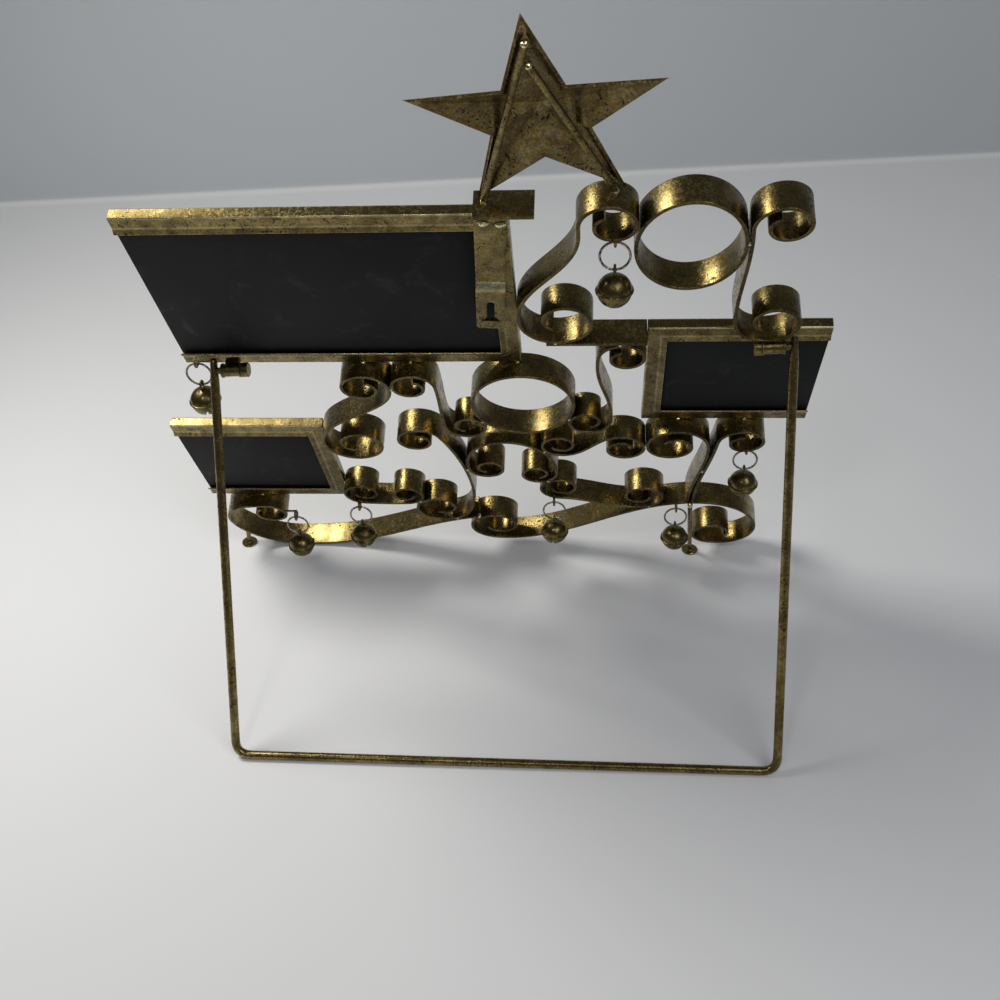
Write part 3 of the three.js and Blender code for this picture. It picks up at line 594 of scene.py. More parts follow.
def new_material(name):
    """An empty node material with its Object coordinates."""
    material = bpy.data.materials.new(name)
    material.use_nodes = True
    tree = material.node_tree
    tree.nodes.clear()
    return material, tree, add_node(tree, "ShaderNodeTexCoord", output="Object")


def surfaced(material, values, relief=None, strength=0.15, depth=0.1):
    """The material with a shader of these inputs, bumped by a relief this many millimetres deep."""
    tree = material.node_tree
    if relief:
        bumps = {"Height": relief, "Strength": strength, "Distance": depth * MM}
        values["Normal"] = add_node(tree, "ShaderNodeBump", bumps)
    shader = add_node(tree, "ShaderNodeBsdfPrincipled", values)
    add_node(tree, "ShaderNodeOutputMaterial", {"Surface": shader})
    return material


def pattern(tree, place, millimetres, low, high, detail=4, rough=0.55, distort=0.0, least=0.0, most=1.0):
    """A mask of clouds about this size: least where their noise is under low, most where it is over high."""
    clouds = add_node(tree, "ShaderNodeTexNoise", {
        "Vector": place, "Scale": per(millimetres), "Detail": detail, "Roughness": rough,
        "Distortion": distort})
    return add_node(tree, "ShaderNodeMapRange", {
        "Value": clouds, "From Min": low, "From Max": high, "To Min": least, "To Max": most}, **SMOOTH)


def weighted(tree, mask, by, least, most):
    """A mask times a second one, which is first drawn in to run from least to most."""
    share = add_node(tree, "ShaderNodeMapRange", {"Value": by, "To Min": least, "To Max": most}, **SMOOTH)
    return add_node(tree, "ShaderNodeMath", {0: mask, 1: share}, **TIMES)


def leaf_over_iron(name, brown, cloud, fleck, rubbed):
    """Iron under dark bronze paint, gilded with leaf that was rubbed back.

    Clouds of this size in millimetres turn the leaf to a brown patina, pale flecks and dark specks break it
    up by the shares given, a painted highlight of pale leaf lies on the edges marked 1 (folds, corners and
    the strap's step), broken up by the clouds, sheared edges are dark, and a thin lacquer lies over all."""
    finish = settings().finish
    material, tree, place = new_material(name)
    patches = pattern(tree, place, 13, 0.38, 0.58, distort=0.4)
    crackle = pattern(tree, place, 1.3, 0.47, 0.58, 7, 0.72)
    clouds = pattern(tree, place, cloud, 0.34, 0.66, 6, 0.62, 0.4, 0.35)
    grain = pattern(tree, place, 0.8, 0.35, 0.65, 5, 0.66)
    specks = pattern(tree, place, 1.3, 0.53, 0.56, 5, 0.75)
    edge = add_node(tree, "ShaderNodeAttribute", output="Fac", attribute_name="edge")
    sheared = add_node(tree, "ShaderNodeMath", {0: edge, 1: -0.45}, **TIMES)
    # Painted highlight: pale leaf on the edges marked 1, the channels' folds and the strap's step, where
    # light catches them, broken up by the clouds
    edge_highlight = weighted(tree, edge, clouds, 0.2, 0.9)
    thin = weighted(tree, clouds, grain, 0.55, 1)
    flakes = weighted(tree, crackle, clouds, 0.2 * fleck, fleck)
    dark = weighted(tree, specks, patches, 0.3 * rubbed, rubbed)
    bare = add_node(tree, "ShaderNodeMath", {0: dark, 1: sheared}, operation="ADD", use_clamp=True)
    base = brown
    for mask, tint in (
        (thin, finish.leaf),
        (flakes, finish.leaf_pale_and_highlight),
        (dark, finish.ground),
        # pale leaf on the edge marks is a painted highlight
        (edge_highlight, finish.leaf_pale_and_highlight),
        (sheared, finish.ground),
    ):
        base = add_node(tree, "ShaderNodeMix", {0: mask, 6: base, 7: tint}, 2, **COLOURS)
    metal = add_node(tree, "ShaderNodeMapRange", {"Value": dark, "To Min": 1.0, "To Max": 0.8}, **SMOOTH)
    lacquer = add_node(tree, "ShaderNodeMapRange", {
        "Value": bare, "From Max": 0.5, "To Min": 0.26, "To Max": 0.0}, **SMOOTH)
    satin = add_node(tree, "ShaderNodeMapRange", {"Value": thin, "To Min": 0.32, "To Max": 0.22}, **SMOOTH)
    waves = add_node(tree, "ShaderNodeTexNoise", {
        "Vector": place, "Scale": per(1.2), "Detail": 6, "Roughness": 0.62, "Distortion": 0.6})
    rough = add_node(tree, "ShaderNodeMath", {0: dark, 1: 0.3, 2: satin}, **TIMES_PLUS)
    relief = add_node(tree, "ShaderNodeMath", {0: dark, 1: -0.3, 2: waves}, **TIMES_PLUS)
    values = {
        "Base Color": base,
        "Metallic": metal,
        "Roughness": rough,
        "Coat Weight": lacquer,
        "Coat Roughness": 0.24,
    }
    return surfaced(material, values, relief, 0.2, 0.25)


def leafed_iron():
    """Bent and folded iron: olive gold with a satin grain, and dark specks in patches."""
    return leaf_over_iron("rubbed_gold_leaf_on_iron", settings().finish.patina, 7, 0.3, 0.95)


def mottled_iron():
    """Pressed iron sheet: brown patina in close clouds, with many pale flecks."""
    return leaf_over_iron("mottled_gold_leaf_on_pressed_iron", settings().finish.rust, 6, 0.5, 0.95)


def weld_finish_and_painted_highlight():
    """Weld metal under leaf: paler than the strips, with less patina, and partly a painted highlight so that
    the beads read as lit; smooth, with small dull spots.
    """
    finish = settings().finish
    material, tree, place = new_material("gilded_weld_metal_painted_bright")
    spots = pattern(tree, place, 1.1, 0.52, 0.66, 4, 0.6)
    # Pale leaf as the beads' base: less patina, and partly a painted highlight
    base = add_node(tree, "ShaderNodeMix", {0: spots, 6: finish.leaf_pale_and_highlight, 7: finish.patina}, 2, **COLOURS)
    rough = add_node(tree, "ShaderNodeMapRange", {"Value": spots, "To Min": 0.16, "To Max": 0.34}, **SMOOTH)
    return surfaced(material, {"Base Color": base, "Metallic": 1.0, "Roughness": rough}, spots)


def pressed_brass():
    """Thin pressed brass, tarnished: warm, with brown clouds, dark specks and fine dents."""
    finish = settings().finish
    material, tree, place = new_material("pressed_brass_tarnished")
    clouds = pattern(tree, place, 3.4, 0.40, 0.64, 6, 0.7, 0.5)
    specks = pattern(tree, place, 0.6, 0.58, 0.68, 4, 0.6)
    base = finish.brass
    for mask, share in ((clouds, 0.7), (specks, 0.6)):
        tarnish = add_node(tree, "ShaderNodeMath", {0: mask, 1: share}, **TIMES)
        base = add_node(tree, "ShaderNodeMix", {0: tarnish, 6: base, 7: finish.brass_dark}, 2, **COLOURS)
    rough = add_node(tree, "ShaderNodeMapRange", {"Value": clouds, "To Min": 0.24, "To Max": 0.44}, **SMOOTH)
    dents = add_node(tree, "ShaderNodeTexNoise", {
        "Vector": place, "Scale": per(1.1), "Detail": 4, "Roughness": 0.6})
    return surfaced(material, {"Base Color": base, "Metallic": 1.0, "Roughness": rough}, dents, depth=0.2)


def drawn_steel():
    """Drawn steel wire, dulled: grey brown with draw marks, coarser than real ones so that they show."""
    finish = settings().finish
    material, tree, place = new_material("drawn_steel_wire")
    marks = add_node(tree, "ShaderNodeTexNoise", {
        "Vector": place, "Scale": per(0.8), "Detail": 3, "Roughness": 0.5})
    dull = add_node(tree, "ShaderNodeMapRange", {
        "Value": marks, "From Min": 0.45, "From Max": 0.65}, **SMOOTH)
    base = add_node(tree, "ShaderNodeMix", {0: dull, 6: finish.steel, 7: finish.brass_dark}, 2, **COLOURS)
    rough = add_node(tree, "ShaderNodeMapRange", {
        "Value": marks, "From Min": 0.3, "From Max": 0.7, "To Min": 0.28, "To Max": 0.42}, **SMOOTH)
    return surfaced(material, {"Base Color": base, "Metallic": 1.0, "Roughness": rough}, marks, strength=0.1)


def papered_board():
    """Fibre board under matt black paper: even, with rubbed places and a felt coarse enough to show."""
    finish = settings().finish
    material, tree, place = new_material("black_paper_on_fibre_board")
    felt = add_node(tree, "ShaderNodeTexNoise", {
        "Vector": place, "Scale": per(0.5), "Detail": 3, "Roughness": 0.6})
    rubbed = pattern(tree, place, 17, 0.50, 0.75, 6, 0.7, 0.8)
    faint = add_node(tree, "ShaderNodeMath", {0: rubbed, 1: 0.5}, **TIMES)
    base = add_node(tree, "ShaderNodeMix", {0: faint, 6: finish.board, 7: finish.board_worn}, 2, **COLOURS)
    rough = add_node(tree, "ShaderNodeMapRange", {"Value": rubbed, "To Min": 0.78, "To Max": 0.62}, **SMOOTH)
    return surfaced(material, {"Base Color": base, "Roughness": rough, "Specular IOR Level": 0.3}, felt, 0.12)


def float_glass():
    """Clear float glass with a faint green body and the lightest film of dust."""
    material, tree, place = new_material("clear_float_glass")
    film = pattern(tree, place, 9, 0.45, 0.75, 5, 0.6, least=0.02, most=0.10)
    tint = settings().finish.glass
    return surfaced(material, {
        "Base Color": tint, "Roughness": film, "IOR": 1.52, "Transmission Weight": 1.0})


MATERIALS = {}


def material_of(maker):
    """Each material is made once."""
    if maker.__name__ not in MATERIALS:
        MATERIALS[maker.__name__] = maker()
    return MATERIALS[maker.__name__]


def gilded(name, shells, body, replaced=(), sharp=40, maker=leafed_iron):
    """A piece in gold leaf."""
    return make_piece(name, shells, material_of(maker), body, replaced, sharp)


class PHOTOFRAME_OT_strips(Operator):
    """Scrolls, base strips, oval rings, tie bar and cap plate"""

    bl_idname = "photoframe.strips"
    bl_label = "Strip work"

    def execute(self, context):
        for name, (path, closed) in strip_paths().items():
            gilded("smooth_" + name, [strip_shell(path, closed)], "rack", [name])
        return {"FINISHED"}


def channel_outline():
    """Section of the channel as (inset from the outer edge, depth), its folds rounded and marked for a
    painted highlight.
    """
    rack = settings().rack
    front = rack_front()
    slope = math.atan2(rack.flare_rise, rack.flare_run)
    bend = rack.flange - rack.flare_run
    corners = [
        (0, 0),
        (bend, 0),
        (rack.flange, rack.flare_rise),
        (rack.flange + rack.sheet * math.sin(slope), rack.flare_rise - rack.sheet * math.cos(slope)),
        (bend + rack.sheet * math.tan(slope / 2), -rack.sheet),
        (rack.sheet, -rack.sheet),
        (rack.sheet, front + rack.sheet),
        (rack.lip, front + rack.sheet),
        (rack.lip, front),
        (0, front),
    ]
    sawn, inner = rack.sheet * 0.3, rack.sheet * 0.12
    rounding = [rack.fold, rack.fold, sawn, sawn, inner, inner, inner, sawn, sawn, rack.fold]
    outline, mark = rounded_outline(corners, np.array(rounding))
    # Share of the pale painted highlight at each corner: full on the two outer folds, partial on the flare's
    # bend and the sawn edges of flange and lip, none inside
    highlight_share = [1, 0.3, 0.5, 0.3, 0, 0, 0, 0.3, 0.5, 1]
    return outline, mark * np.repeat(highlight_share, len(mark) // len(highlight_share))


def channel_shells(place):
    """Three rails, each a straight run of the channel's section whose mitred ends stop short of the seam."""
    outline, mark = channel_outline()
    inset, depth = outline[:, 0], outline[:, 1]
    left, bottom = place["left"] * MM, place["bottom"] * MM
    right, top = left + place["width"] * MM, bottom + place["height"] * MM
    seam = settings().rack.seam
    near, far = (right, left) if place["open"] < 0 else (left, right)
    inward = math.copysign(1, far - near)
    mitred = near + inward * (inset + seam)
    sawn = np.full_like(inset, far)
    steps = np.linspace(0, 1, 24)[:, None]

    def rail(along, level):
        flat = [np.broadcast_to(values, (len(steps), len(depth))) for values in (along, level, depth)]
        return grid_shell(leaned(np.stack(flat, -1)), wrap_columns=True, caps=True, edge=mark)

    low, high = bottom + inset + seam, top - inset - seam
    run = mitred + steps * (sawn - mitred)
    upright = rail(near + inward * inset, low + steps * (high - low))
    return [rail(run, bottom + inset), rail(run, top - inset), upright]


class PHOTOFRAME_OT_channels(Operator):
    """Picture channels: folded sheet rails with mitred corners, open on one side"""

    bl_idname = "photoframe.channels"
    bl_label = "Picture channels"

    def execute(self, context):
        for name, place in CHANNELS.items():
            gilded("folded_frame_" + name, channel_shells(place), "rack", ["frame_" + name])
        return {"FINISHED"}


def slab_shell(node, rounding):
    """A sheet that fills a CAD sheet: its rounded outline, drawn in at both faces for an eased edge."""
    rack = settings().rack
    place = CHANNELS[node.split("_")[1]]
    inner = rack.sheet + rack.gap
    left = place["left"] * MM + (inner if place["open"] > 0 else 0)
    right = (place["left"] + place["width"]) * MM - (inner if place["open"] < 0 else 0)
    bottom = place["bottom"] * MM + inner
    top = (place["bottom"] + place["height"]) * MM - inner
    is_glass = node.startswith("glass")
    thickness = rack.glass if is_glass else rack.panel
    low = rack_front() + inner if is_glass else -inner - rack.panel
    ease = rack.sheet_ease
    rows = []
    for inset, depth in ((ease, 0), (0, ease), (0, thickness - ease), (ease, thickness)):
        x0, x1, y0, y1 = left + inset, right - inset, bottom + inset, top - inset
        outline, _ = rounded_outline([(x0, y0), (x1, y0), (x1, y1), (x0, y1)], rounding, 5)
        rows.append(np.column_stack([outline, np.full(len(outline), low + depth)]))
    return grid_shell(leaned(np.array(rows)), wrap_columns=True, caps=True)


class PHOTOFRAME_OT_sheets(Operator):
    """Glass and backing boards in the channels"""

    bl_idname = "photoframe.sheets"
    bl_label = "Glass and boards"

    def execute(self, context):
        rack = settings().rack
        kinds = (
            ("ground_", "glass_", rack.glass_corner, float_glass, "clear_glass"),
            ("papered_", "panel_", rack.panel_corner, papered_board, "backing_board"),
        )
        for name in CHANNELS:
            for finish, kind, rounding, maker, slot in kinds:
                node = kind + name
                shells = [slab_shell(node, rounding)]
                make_piece(finish + node, shells, material_of(maker), node, [node])
        return {"FINISHED"}


class PHOTOFRAME_OT_star(Operator):
    """Star pressed hollow from sheet, with the two rods that carry it"""

    bl_idname = "photoframe.star"
    bl_label = "Star"

    def execute(self, context):
        rack = settings().rack
        middle = np.array(STAR_AT) * MM
        corner_turn = rack.star_turn + math.pi / 2 + np.arange(11) * math.pi / 5
        corner_reach = np.where(np.arange(11) % 2 == 0, rack.star_tip, rack.star_notch)
        corners = np.stack([np.cos(corner_turn), np.sin(corner_turn)], -1) * corner_reach[:, None]
        side = np.linspace(0, 1, 9)[:-1]
        runs = (corners[1:] - corners[:-1])[:, None]
        rim = (corners[:-1, None] + side[None, :, None] * runs).reshape(-1, 2)
        share = np.linspace(0, 1, 17)[:, None]

        def facets(depth):
            flat = share[:, :, None] * rim[None]
            height = np.broadcast_to(-rack.star_height * (1 - share) + depth, flat.shape[:2])
            return np.concatenate([flat, height[..., None]], -1)

        front = facets(0.0)
        hollow = facets(rack.star_sheet)
        hollow[-1, :, :2] *= 0.972
        hollow[-1, :, 2] = 0
        edge = -0.8 * np.concatenate([share >= 1, share[::-1] >= 1])
        points = np.concatenate([front, hollow[::-1]])
        shell = grid_shell(leaned(middle + points), wrap_columns=True, edge=edge)
        gilded("pressed_star", [shell], "rack", ["star"], sharp=12, maker=mottled_iron)
        depth = middle[2] + rack.gap + rack.rod
        for name, ends in STAR_RODS.items():
            ends = [leaned(np.array([x * MM, y * MM, depth])) for x, y in ends]
            gilded("round_star_rod_" + name, [rod_shell(*ends, rack.rod)], "rack", ["star_rod_" + name])
        return {"FINISHED"}


def mirrored_loop(bottom, right, top):
    """A closed loop in four runs, the last one the right side mirrored."""
    runs = [bottom, right, top, (right * [-1, 1])[::-1]]
    return np.concatenate([run[:-1] for run in runs])


def keyhole_loop(steps):
    """A keyhole in four runs: flat mouth, right side that swings in to the slot, round top, left side."""
    rack = settings().rack
    mouth, slot = rack.keyhole_mouth / 2, rack.keyhole_slot / 2
    shoulder, crown = rack.keyhole_slot, rack.keyhole_height - slot
    t = np.linspace(0, 1, steps // 2 + 1)[:, None]
    swing = quadratic(t, np.array([mouth, 0]), np.array([mouth, shoulder]), np.array([slot, shoulder]))
    rise = [slot, shoulder] + np.linspace(0, 1, steps - steps // 2 + 1)[1:, None] * [0, crown - shoulder]
    right = np.concatenate([swing, rise])
    turn = np.linspace(0, math.pi, steps + 1)
    top = np.stack([slot * np.cos(turn), crown + slot * np.sin(turn)], -1)
    bottom = np.stack([np.linspace(-mouth, mouth, steps + 1), np.zeros(steps + 1)], -1)
    return mirrored_loop(bottom, right, top) + [0, rack.keyhole_rise]


def strap_end_loop(steps, height):
    """The outline of the strap's lower end as four runs that face those of the keyhole, its foot rounded."""
    half = settings().rack.strap_width / 2
    ease = half / 4
    turn = np.linspace(0, math.pi / 2, steps // 2 + 1)
    foot = np.stack([half - ease + ease * np.sin(turn), ease - ease * np.cos(turn)], -1)
    rise = [half, ease] + np.linspace(0, 1, steps - steps // 2 + 1)[1:, None] * [0, height - ease]
    right = np.concatenate([foot, rise])
    top = np.stack([np.linspace(half, -half, steps + 1), np.full(steps + 1, height)], -1)
    bottom = np.stack([np.linspace(ease - half, half - ease, steps + 1), np.zeros(steps + 1)], -1)
    return mirrored_loop(bottom, right, top)


class PHOTOFRAME_OT_strap(Operator):
    """Hanger strap: a stepped strip with a keyhole"""

    bl_idname = "photoframe.strap"
    bl_label = "Hanger strap"

    def place(self, flat):
        """Strap coordinates to the frame: the step eases down a cubic, then the strap is tilted and set."""
        rack = settings().rack
        share = np.clip((flat[..., 1] - rack.strap_flat) / rack.strap_slope, 0, 1)
        depth = STRAP_SEAT * MM + rack.strap_joggle * (1 - eased(share))
        sin, cos = math.sin(rack.strap_tilt), math.cos(rack.strap_tilt)
        x = flat[..., 0] * cos - flat[..., 1] * sin + STRAP_AT[0] * MM
        y = flat[..., 0] * sin + flat[..., 1] * cos + STRAP_AT[1] * MM
        return leaned(np.stack([x, y, depth], -1))

    def execute(self, context):
        rack = settings().rack
        steps = 12
        height = rack.strap_flat - rack.strip
        share = np.linspace(0, 1, 5)[:, None, None]
        hole, outline = keyhole_loop(steps), strap_end_loop(steps, height)
        ring = hole + share * (outline - hole)
        across = np.linspace(rack.strap_width / 2, -rack.strap_width / 2, steps + 1)
        rise = np.linspace(height, rack.strap_length, 60)
        upper = np.stack(np.broadcast_arrays(across[None], rise[:, None]), -1)
        # The step's edge mark peaks at 1 midway down the slope, which lays a painted highlight of pale leaf
        # along it
        step = np.clip((rise - rack.strap_flat) / rack.strap_slope, 0, 1)
        shells = [grid_shell(self.place(ring), wrap_columns=True),
                  grid_shell(self.place(upper), edge=4 * (step * (1 - step))[:, None])]
        strap = gilded("stepped_hanger_strap", shells, "rack", ["hanger_strap"])
        thicken(strap, rack.strip, 0, rack.strip_edge)
        return {"FINISHED"}


class PHOTOFRAME_OT_feet(Operator):
    """Feet: rods down to round pads"""

    bl_idname = "photoframe.feet"
    bl_label = "Feet"

    def execute(self, context):
        rack = settings().rack
        height, reach, ease = rack.pad_height, rack.pad, rack.pad_height / 4
        profile = [(0, 0), (reach - ease, 0), (reach, ease), (reach, height - ease), (reach - ease, height),
                   (rack.rod * 1.6, height), (rack.rod * 1.1, height + ease * 2), (0, height + ease * 2)]
        for name, (top, pad) in FEET.items():
            base = stood(pad[0] * MM, pad[1] * MM, 0)
            rod = rod_shell(leaned(np.array(top) * MM), base + [0, 0, height / 2], rack.rod)
            gilded("rod_foot_" + name, [rod, lathe_shell(profile, base, (0, 0, 1))], "rack", ["foot_" + name])
        return {"FINISHED"}


def hinge_at(x):
    """The place on the hinge line at this x, on the rack."""
    start, end = np.array(HINGE, float)
    return (start + (end - start) * (x - start[0]) / (end[0] - start[0])) * MM


class PHOTOFRAME_OT_hinge(Operator):
    """Hinge barrels with their saddles, and the caps on the pins"""

    bl_idname = "photoframe.hinge"
    bl_label = "Hinge"

    def execute(self, context):
        stand = settings().stand
        along = unit(np.subtract(*HINGE[::-1]))
        axis = along @ rack_axes()
        outer, bore, ease, disc = stand.barrel, stand.bore, stand.turned_edge, stand.disc
        neck = outer * 0.87
        for name, (x, length, front, height) in BARRELS.items():
            length, front, height = length * MM, front * MM, height * MM
            half = [(bore, ease), (bore + ease, 0), (outer - ease, 0), (outer, ease), (outer, disc - ease),
                    (outer - ease, disc), (neck, disc + ease)]
            profile = half + [(radius, length - rise) for radius, rise in half[::-1]]
            start = hinge_at(x)
            barrel = lathe_shell(profile, leaned(start), axis, closed=True)
            saddle = self.saddle(start, along, length, front, height)
            gilded("turned_stand_barrel_" + name, [barrel, saddle], "rack", ["stand_barrel_" + name])
        cap, floor = stand.cap, stand.cap / 4
        cup = [(0, 0), (outer - 2 * ease, 0), (outer, 2 * ease), (outer, cap - ease), (outer - ease, cap),
               (bore + ease, cap), (bore, cap - ease), (bore, floor), (0, floor)]
        for name, (x, heading) in CAPS.items():
            shell = lathe_shell(cup, leaned(hinge_at(x)), axis * heading)
            gilded("turned_stand_cap_" + name, [shell], "stand", ["stand_cap_" + name])
        return {"FINISHED"}

    def saddle(self, start, along, length, front, height):
        """The block under a barrel: a rounded rectangle drawn from the rack back into the barrel's wall."""
        stand = settings().stand
        middle = start + along * length / 2
        reach = 0.35 * length
        corners = [(-reach, -height / 2), (reach, -height / 2), (reach, height / 2), (-reach, height / 2)]
        outline, _ = rounded_outline(corners, stand.saddle_edge)
        side = np.array([-along[1], along[0], 0])
        flat = middle + outline[:, :1] * along + outline[:, 1:] * side
        rows = []
        for depth in (front, middle[2] - stand.barrel * 0.8):
            row = flat.copy()
            row[:, 2] = depth
            rows.append(row)
        return grid_shell(leaned(np.array(rows)), wrap_columns=True, caps=True)


class PHOTOFRAME_OT_stand(Operator):
    """Stand: a wire bent to a U, its leg ends flattened, with the hinge pins"""

    bl_idname = "photoframe.stand"
    bl_label = "Stand"

    def bend(self, before, corner, after):
        """The quadratic curve around a corner of the wire."""
        reach = settings().stand.bend
        start = corner + unit(before - corner) * reach
        end = corner + unit(after - corner) * reach
        return quadratic(np.linspace(0, 1, 13)[:, None], start, corner, end)

    def execute(self, context):
        stand = settings().stand
        pivots = [leaned(hinge_at(x)) for x, _, _ in LEGS]
        corners = [stood(x * MM, y * MM, stand.lift) for _, _, (x, y) in LEGS]
        tops = [pivot + unit(pivot - corner) * stop * MM
                for pivot, corner, (_, stop, _) in zip(pivots, corners, LEGS)]
        first = self.bend(tops[0], corners[0], corners[1])
        last = self.bend(corners[0], corners[1], tops[1])
        share = np.linspace(0, 1, 40)[:-1, None]
        path = np.concatenate([
            tops[0] + share * (first[0] - tops[0]),
            first,
            (first[-1] + share * (last[0] - first[-1]))[1:],
            last,
            (last[-1] + share * (tops[1] - last[-1]))[1:],
            tops[1:],
        ])
        path, swell = rounded_ends(path, stand.wire)
        run = np.concatenate([[0], np.cumsum(np.linalg.norm(np.diff(path, axis=0), axis=1))])
        near = np.clip(1 - np.minimum(run, run[-1] - run) / stand.flat, 0, 1)
        flat = eased(near)
        across = unit(np.cross(corners[1] - corners[0], tops[0] - corners[0]))
        scale = swell[:, None] * np.stack([1 - 0.3 * flat, 1 + 0.12 * flat], -1)
        shells = [tube_shell(path, across, stand.wire, scale, 24)]
        shells += [rod_shell(leaned(hinge_at(leg)), leaned(hinge_at(cap)), stand.pin) for leg, cap in PINS]
        gilded("bent_stand_wire", shells, "stand", ["stand_wire"])
        return {"FINISHED"}


# Turns between one bell or ring and the next, and the opening of the split rings, in radians
BELL_TURN, RING_TURN, RING_SPLIT = 0.9, 1.1, 0.08


def bell_sheet(middle, turn_by):
    """One sheet: a dome, a crimped rim and a ring turned about the upright, then four petals.

    The petals follow the ball down to its bottom and narrow between crossed slots of even width."""
    bell = settings().bell
    radius, half = bell.radius, bell.slot / 2
    slot_reach = math.sqrt(radius ** 2 - bell.slot_drop ** 2)
    side = math.asin(half / slot_reach)
    over_slot, over_petal = np.linspace(-side, side, 4), np.linspace(side, math.pi / 2 - side, 11)
    quarter = np.concatenate([over_slot[:-1], over_petal[:-1]])
    turn = (quarter[None] + np.arange(4)[:, None] * math.pi / 2).reshape(-1) + turn_by
    rim_rise = bell.rim_height / 2
    dome = np.linspace(math.pi / 2, math.asin(rim_rise / radius), 12)
    ring = np.linspace(-math.asin(rim_rise / radius), -math.asin(bell.slot_drop / radius), 4)
    tab = np.maximum(0, np.cos(4 * (turn - turn_by) + 2)) ** 6
    swell = np.array([0.25, 0.8, 1, 0.8, 0.25])
    roll_rise = rim_rise * np.array([0.95, 0.6, 0, -0.6, -0.95])
    roll = radius + bell.rim * swell[:, None] * (0.72 + 0.28 * tab[None])
    reach = np.concatenate([
        np.broadcast_to((radius * np.cos(dome))[:, None], (len(dome), len(turn))),
        roll,
        np.broadcast_to((radius * np.cos(ring))[:, None], (len(ring), len(turn))),
    ])
    rise = np.concatenate([radius * np.sin(dome), roll_rise, radius * np.sin(ring)])
    level = np.broadcast_to(rise[:, None], reach.shape)
    turned = np.stack([reach * np.cos(turn), reach * np.sin(turn), level], -1)
    edge_highlight = np.concatenate([np.zeros(len(dome)), [0, 1, 1, 1, 0], np.zeros(len(ring))])[:, None]
    shells = [grid_shell(turned + middle, wrap_columns=True, edge=edge_highlight)]
    petal_reach = np.linspace(slot_reach, half * math.sqrt(2) * 1.02, 14)
    start = np.arcsin(half / petal_reach)[:, None]
    share = np.linspace(0, 1, 11)[None]
    drop = -np.sqrt(radius ** 2 - petal_reach ** 2)
    for quadrant in range(4):
        azimuth = start + share * (math.pi / 2 - 2 * start) + quadrant * math.pi / 2 + turn_by
        petal = np.stack([petal_reach[:, None] * np.cos(azimuth), petal_reach[:, None] * np.sin(azimuth),
                          np.broadcast_to(drop[:, None], azimuth.shape)], -1)
        shells.append(grid_shell(petal + middle))
    return shells


class PHOTOFRAME_OT_bells(Operator):
    """Bells with their loops and pellets, jump rings and the eyes that carry them"""

    bl_idname = "photoframe.bells"
    bl_label = "Bells"

    def execute(self, context):
        bell = settings().bell
        across, back = np.array([1.0, 0, 0]), np.array([0, 1.0, 0])
        round_side = np.linspace(-math.pi / 2, math.pi / 2, 13)
        ball = np.stack([np.cos(round_side), np.sin(round_side)], -1) * bell.pellet
        eyes = []
        for i in range(1, 8):
            ring_middle = node_middle(f"bell_ring_{i}")
            pellet_middle = node_middle(f"bell_pellet_{i}")
            loop_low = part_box(f"bell_shell_{i}")[0][2]
            middle = np.array([ring_middle[0], ring_middle[1], loop_low + bell.radius])
            body = f"bell_{i}"
            brass, steel = material_of(pressed_brass), material_of(drawn_steel)
            sheet = bell_sheet(middle, BELL_TURN * i)
            cup = make_piece(f"pressed_bell_{i}", sheet, brass, body, [f"bell_shell_{i}"])
            thicken(cup, bell.wall, -1, bell.wall / 4)
            loop = loop_shell(middle + [0, 0, bell.loop_rise], across, bell.loop, bell.loop_wire, steps=32)
            make_piece(f"bell_loop_{i}", [loop], brass, body)
            pellet = lathe_shell(ball, pellet_middle, (0, 0, 1), 24)
            make_piece(f"round_pellet_{i}", [pellet], steel, body, [f"bell_pellet_{i}"])
            ring = loop_shell(ring_middle, back, bell.ring, bell.ring_wire, RING_SPLIT, RING_TURN * i)
            make_piece(f"split_ring_{i}", [ring], steel, f"ring_{i}", [f"bell_ring_{i}"])
            eyes.append(ring_middle + [0, 0, bell.eye_rise])
        shells = [loop_shell(eye, across, bell.eye, bell.eye_wire, steps=40) for eye in eyes]
        stem = eyes[2] - np.array([0, 0, bell.eye]) @ rack_axes()
        shells.append(rod_shell(stem, stem + across * bell.stem, bell.eye_wire))
        gilded("wire_eyes", shells, "rack")
        return {"FINISHED"}


def contact_places():
    """Where strips meet each other or a channel: middles between the nearest points of each pair of paths."""
    rack = settings().rack
    corners = np.array([(0, 0), (1, 0), (1, 1), (0, 1), (0, 0)])
    share = np.linspace(0, 1, 80)[:, None]
    back = rack_front() + rack.strip_width - rack.bead
    lines = [(path, rack.strip / 2, back) for path, _ in strip_paths().values()]
    for place in CHANNELS.values():
        box = np.array([place["left"], place["bottom"]]) + corners * [place["width"], place["height"]]
        sides = [a + share * (b - a) for a, b in zip(box, box[1:])]
        lines.append((np.concatenate(sides) * MM, 0.0, -rack.sheet))
    places = []
    for i, (first, half_first, depth_first) in enumerate(lines):
        for second, half_second, depth_second in lines[i + 1:]:
            apart = np.linalg.norm(first[:, None] - second[None], axis=-1)
            a, b = np.unravel_index(apart.argmin(), apart.shape)
            if 0 < apart[a, b] - half_first - half_second < 2 * rack.gap:
                places.append((*((first[a] + second[b]) / 2), min(depth_first, depth_second)))
    return places


# Beads on strips, rods and strap, as half sizes along the rack's axes over the bead setting, and how far the
# waves of each bead are turned from those of the one before
BEAD_SHAPES = ((0.9, 0.9, 1.2), (1.1, 1.1, 1.35), (1.9, 1.3, 1.1))
BEAD_PHASE = 1.9


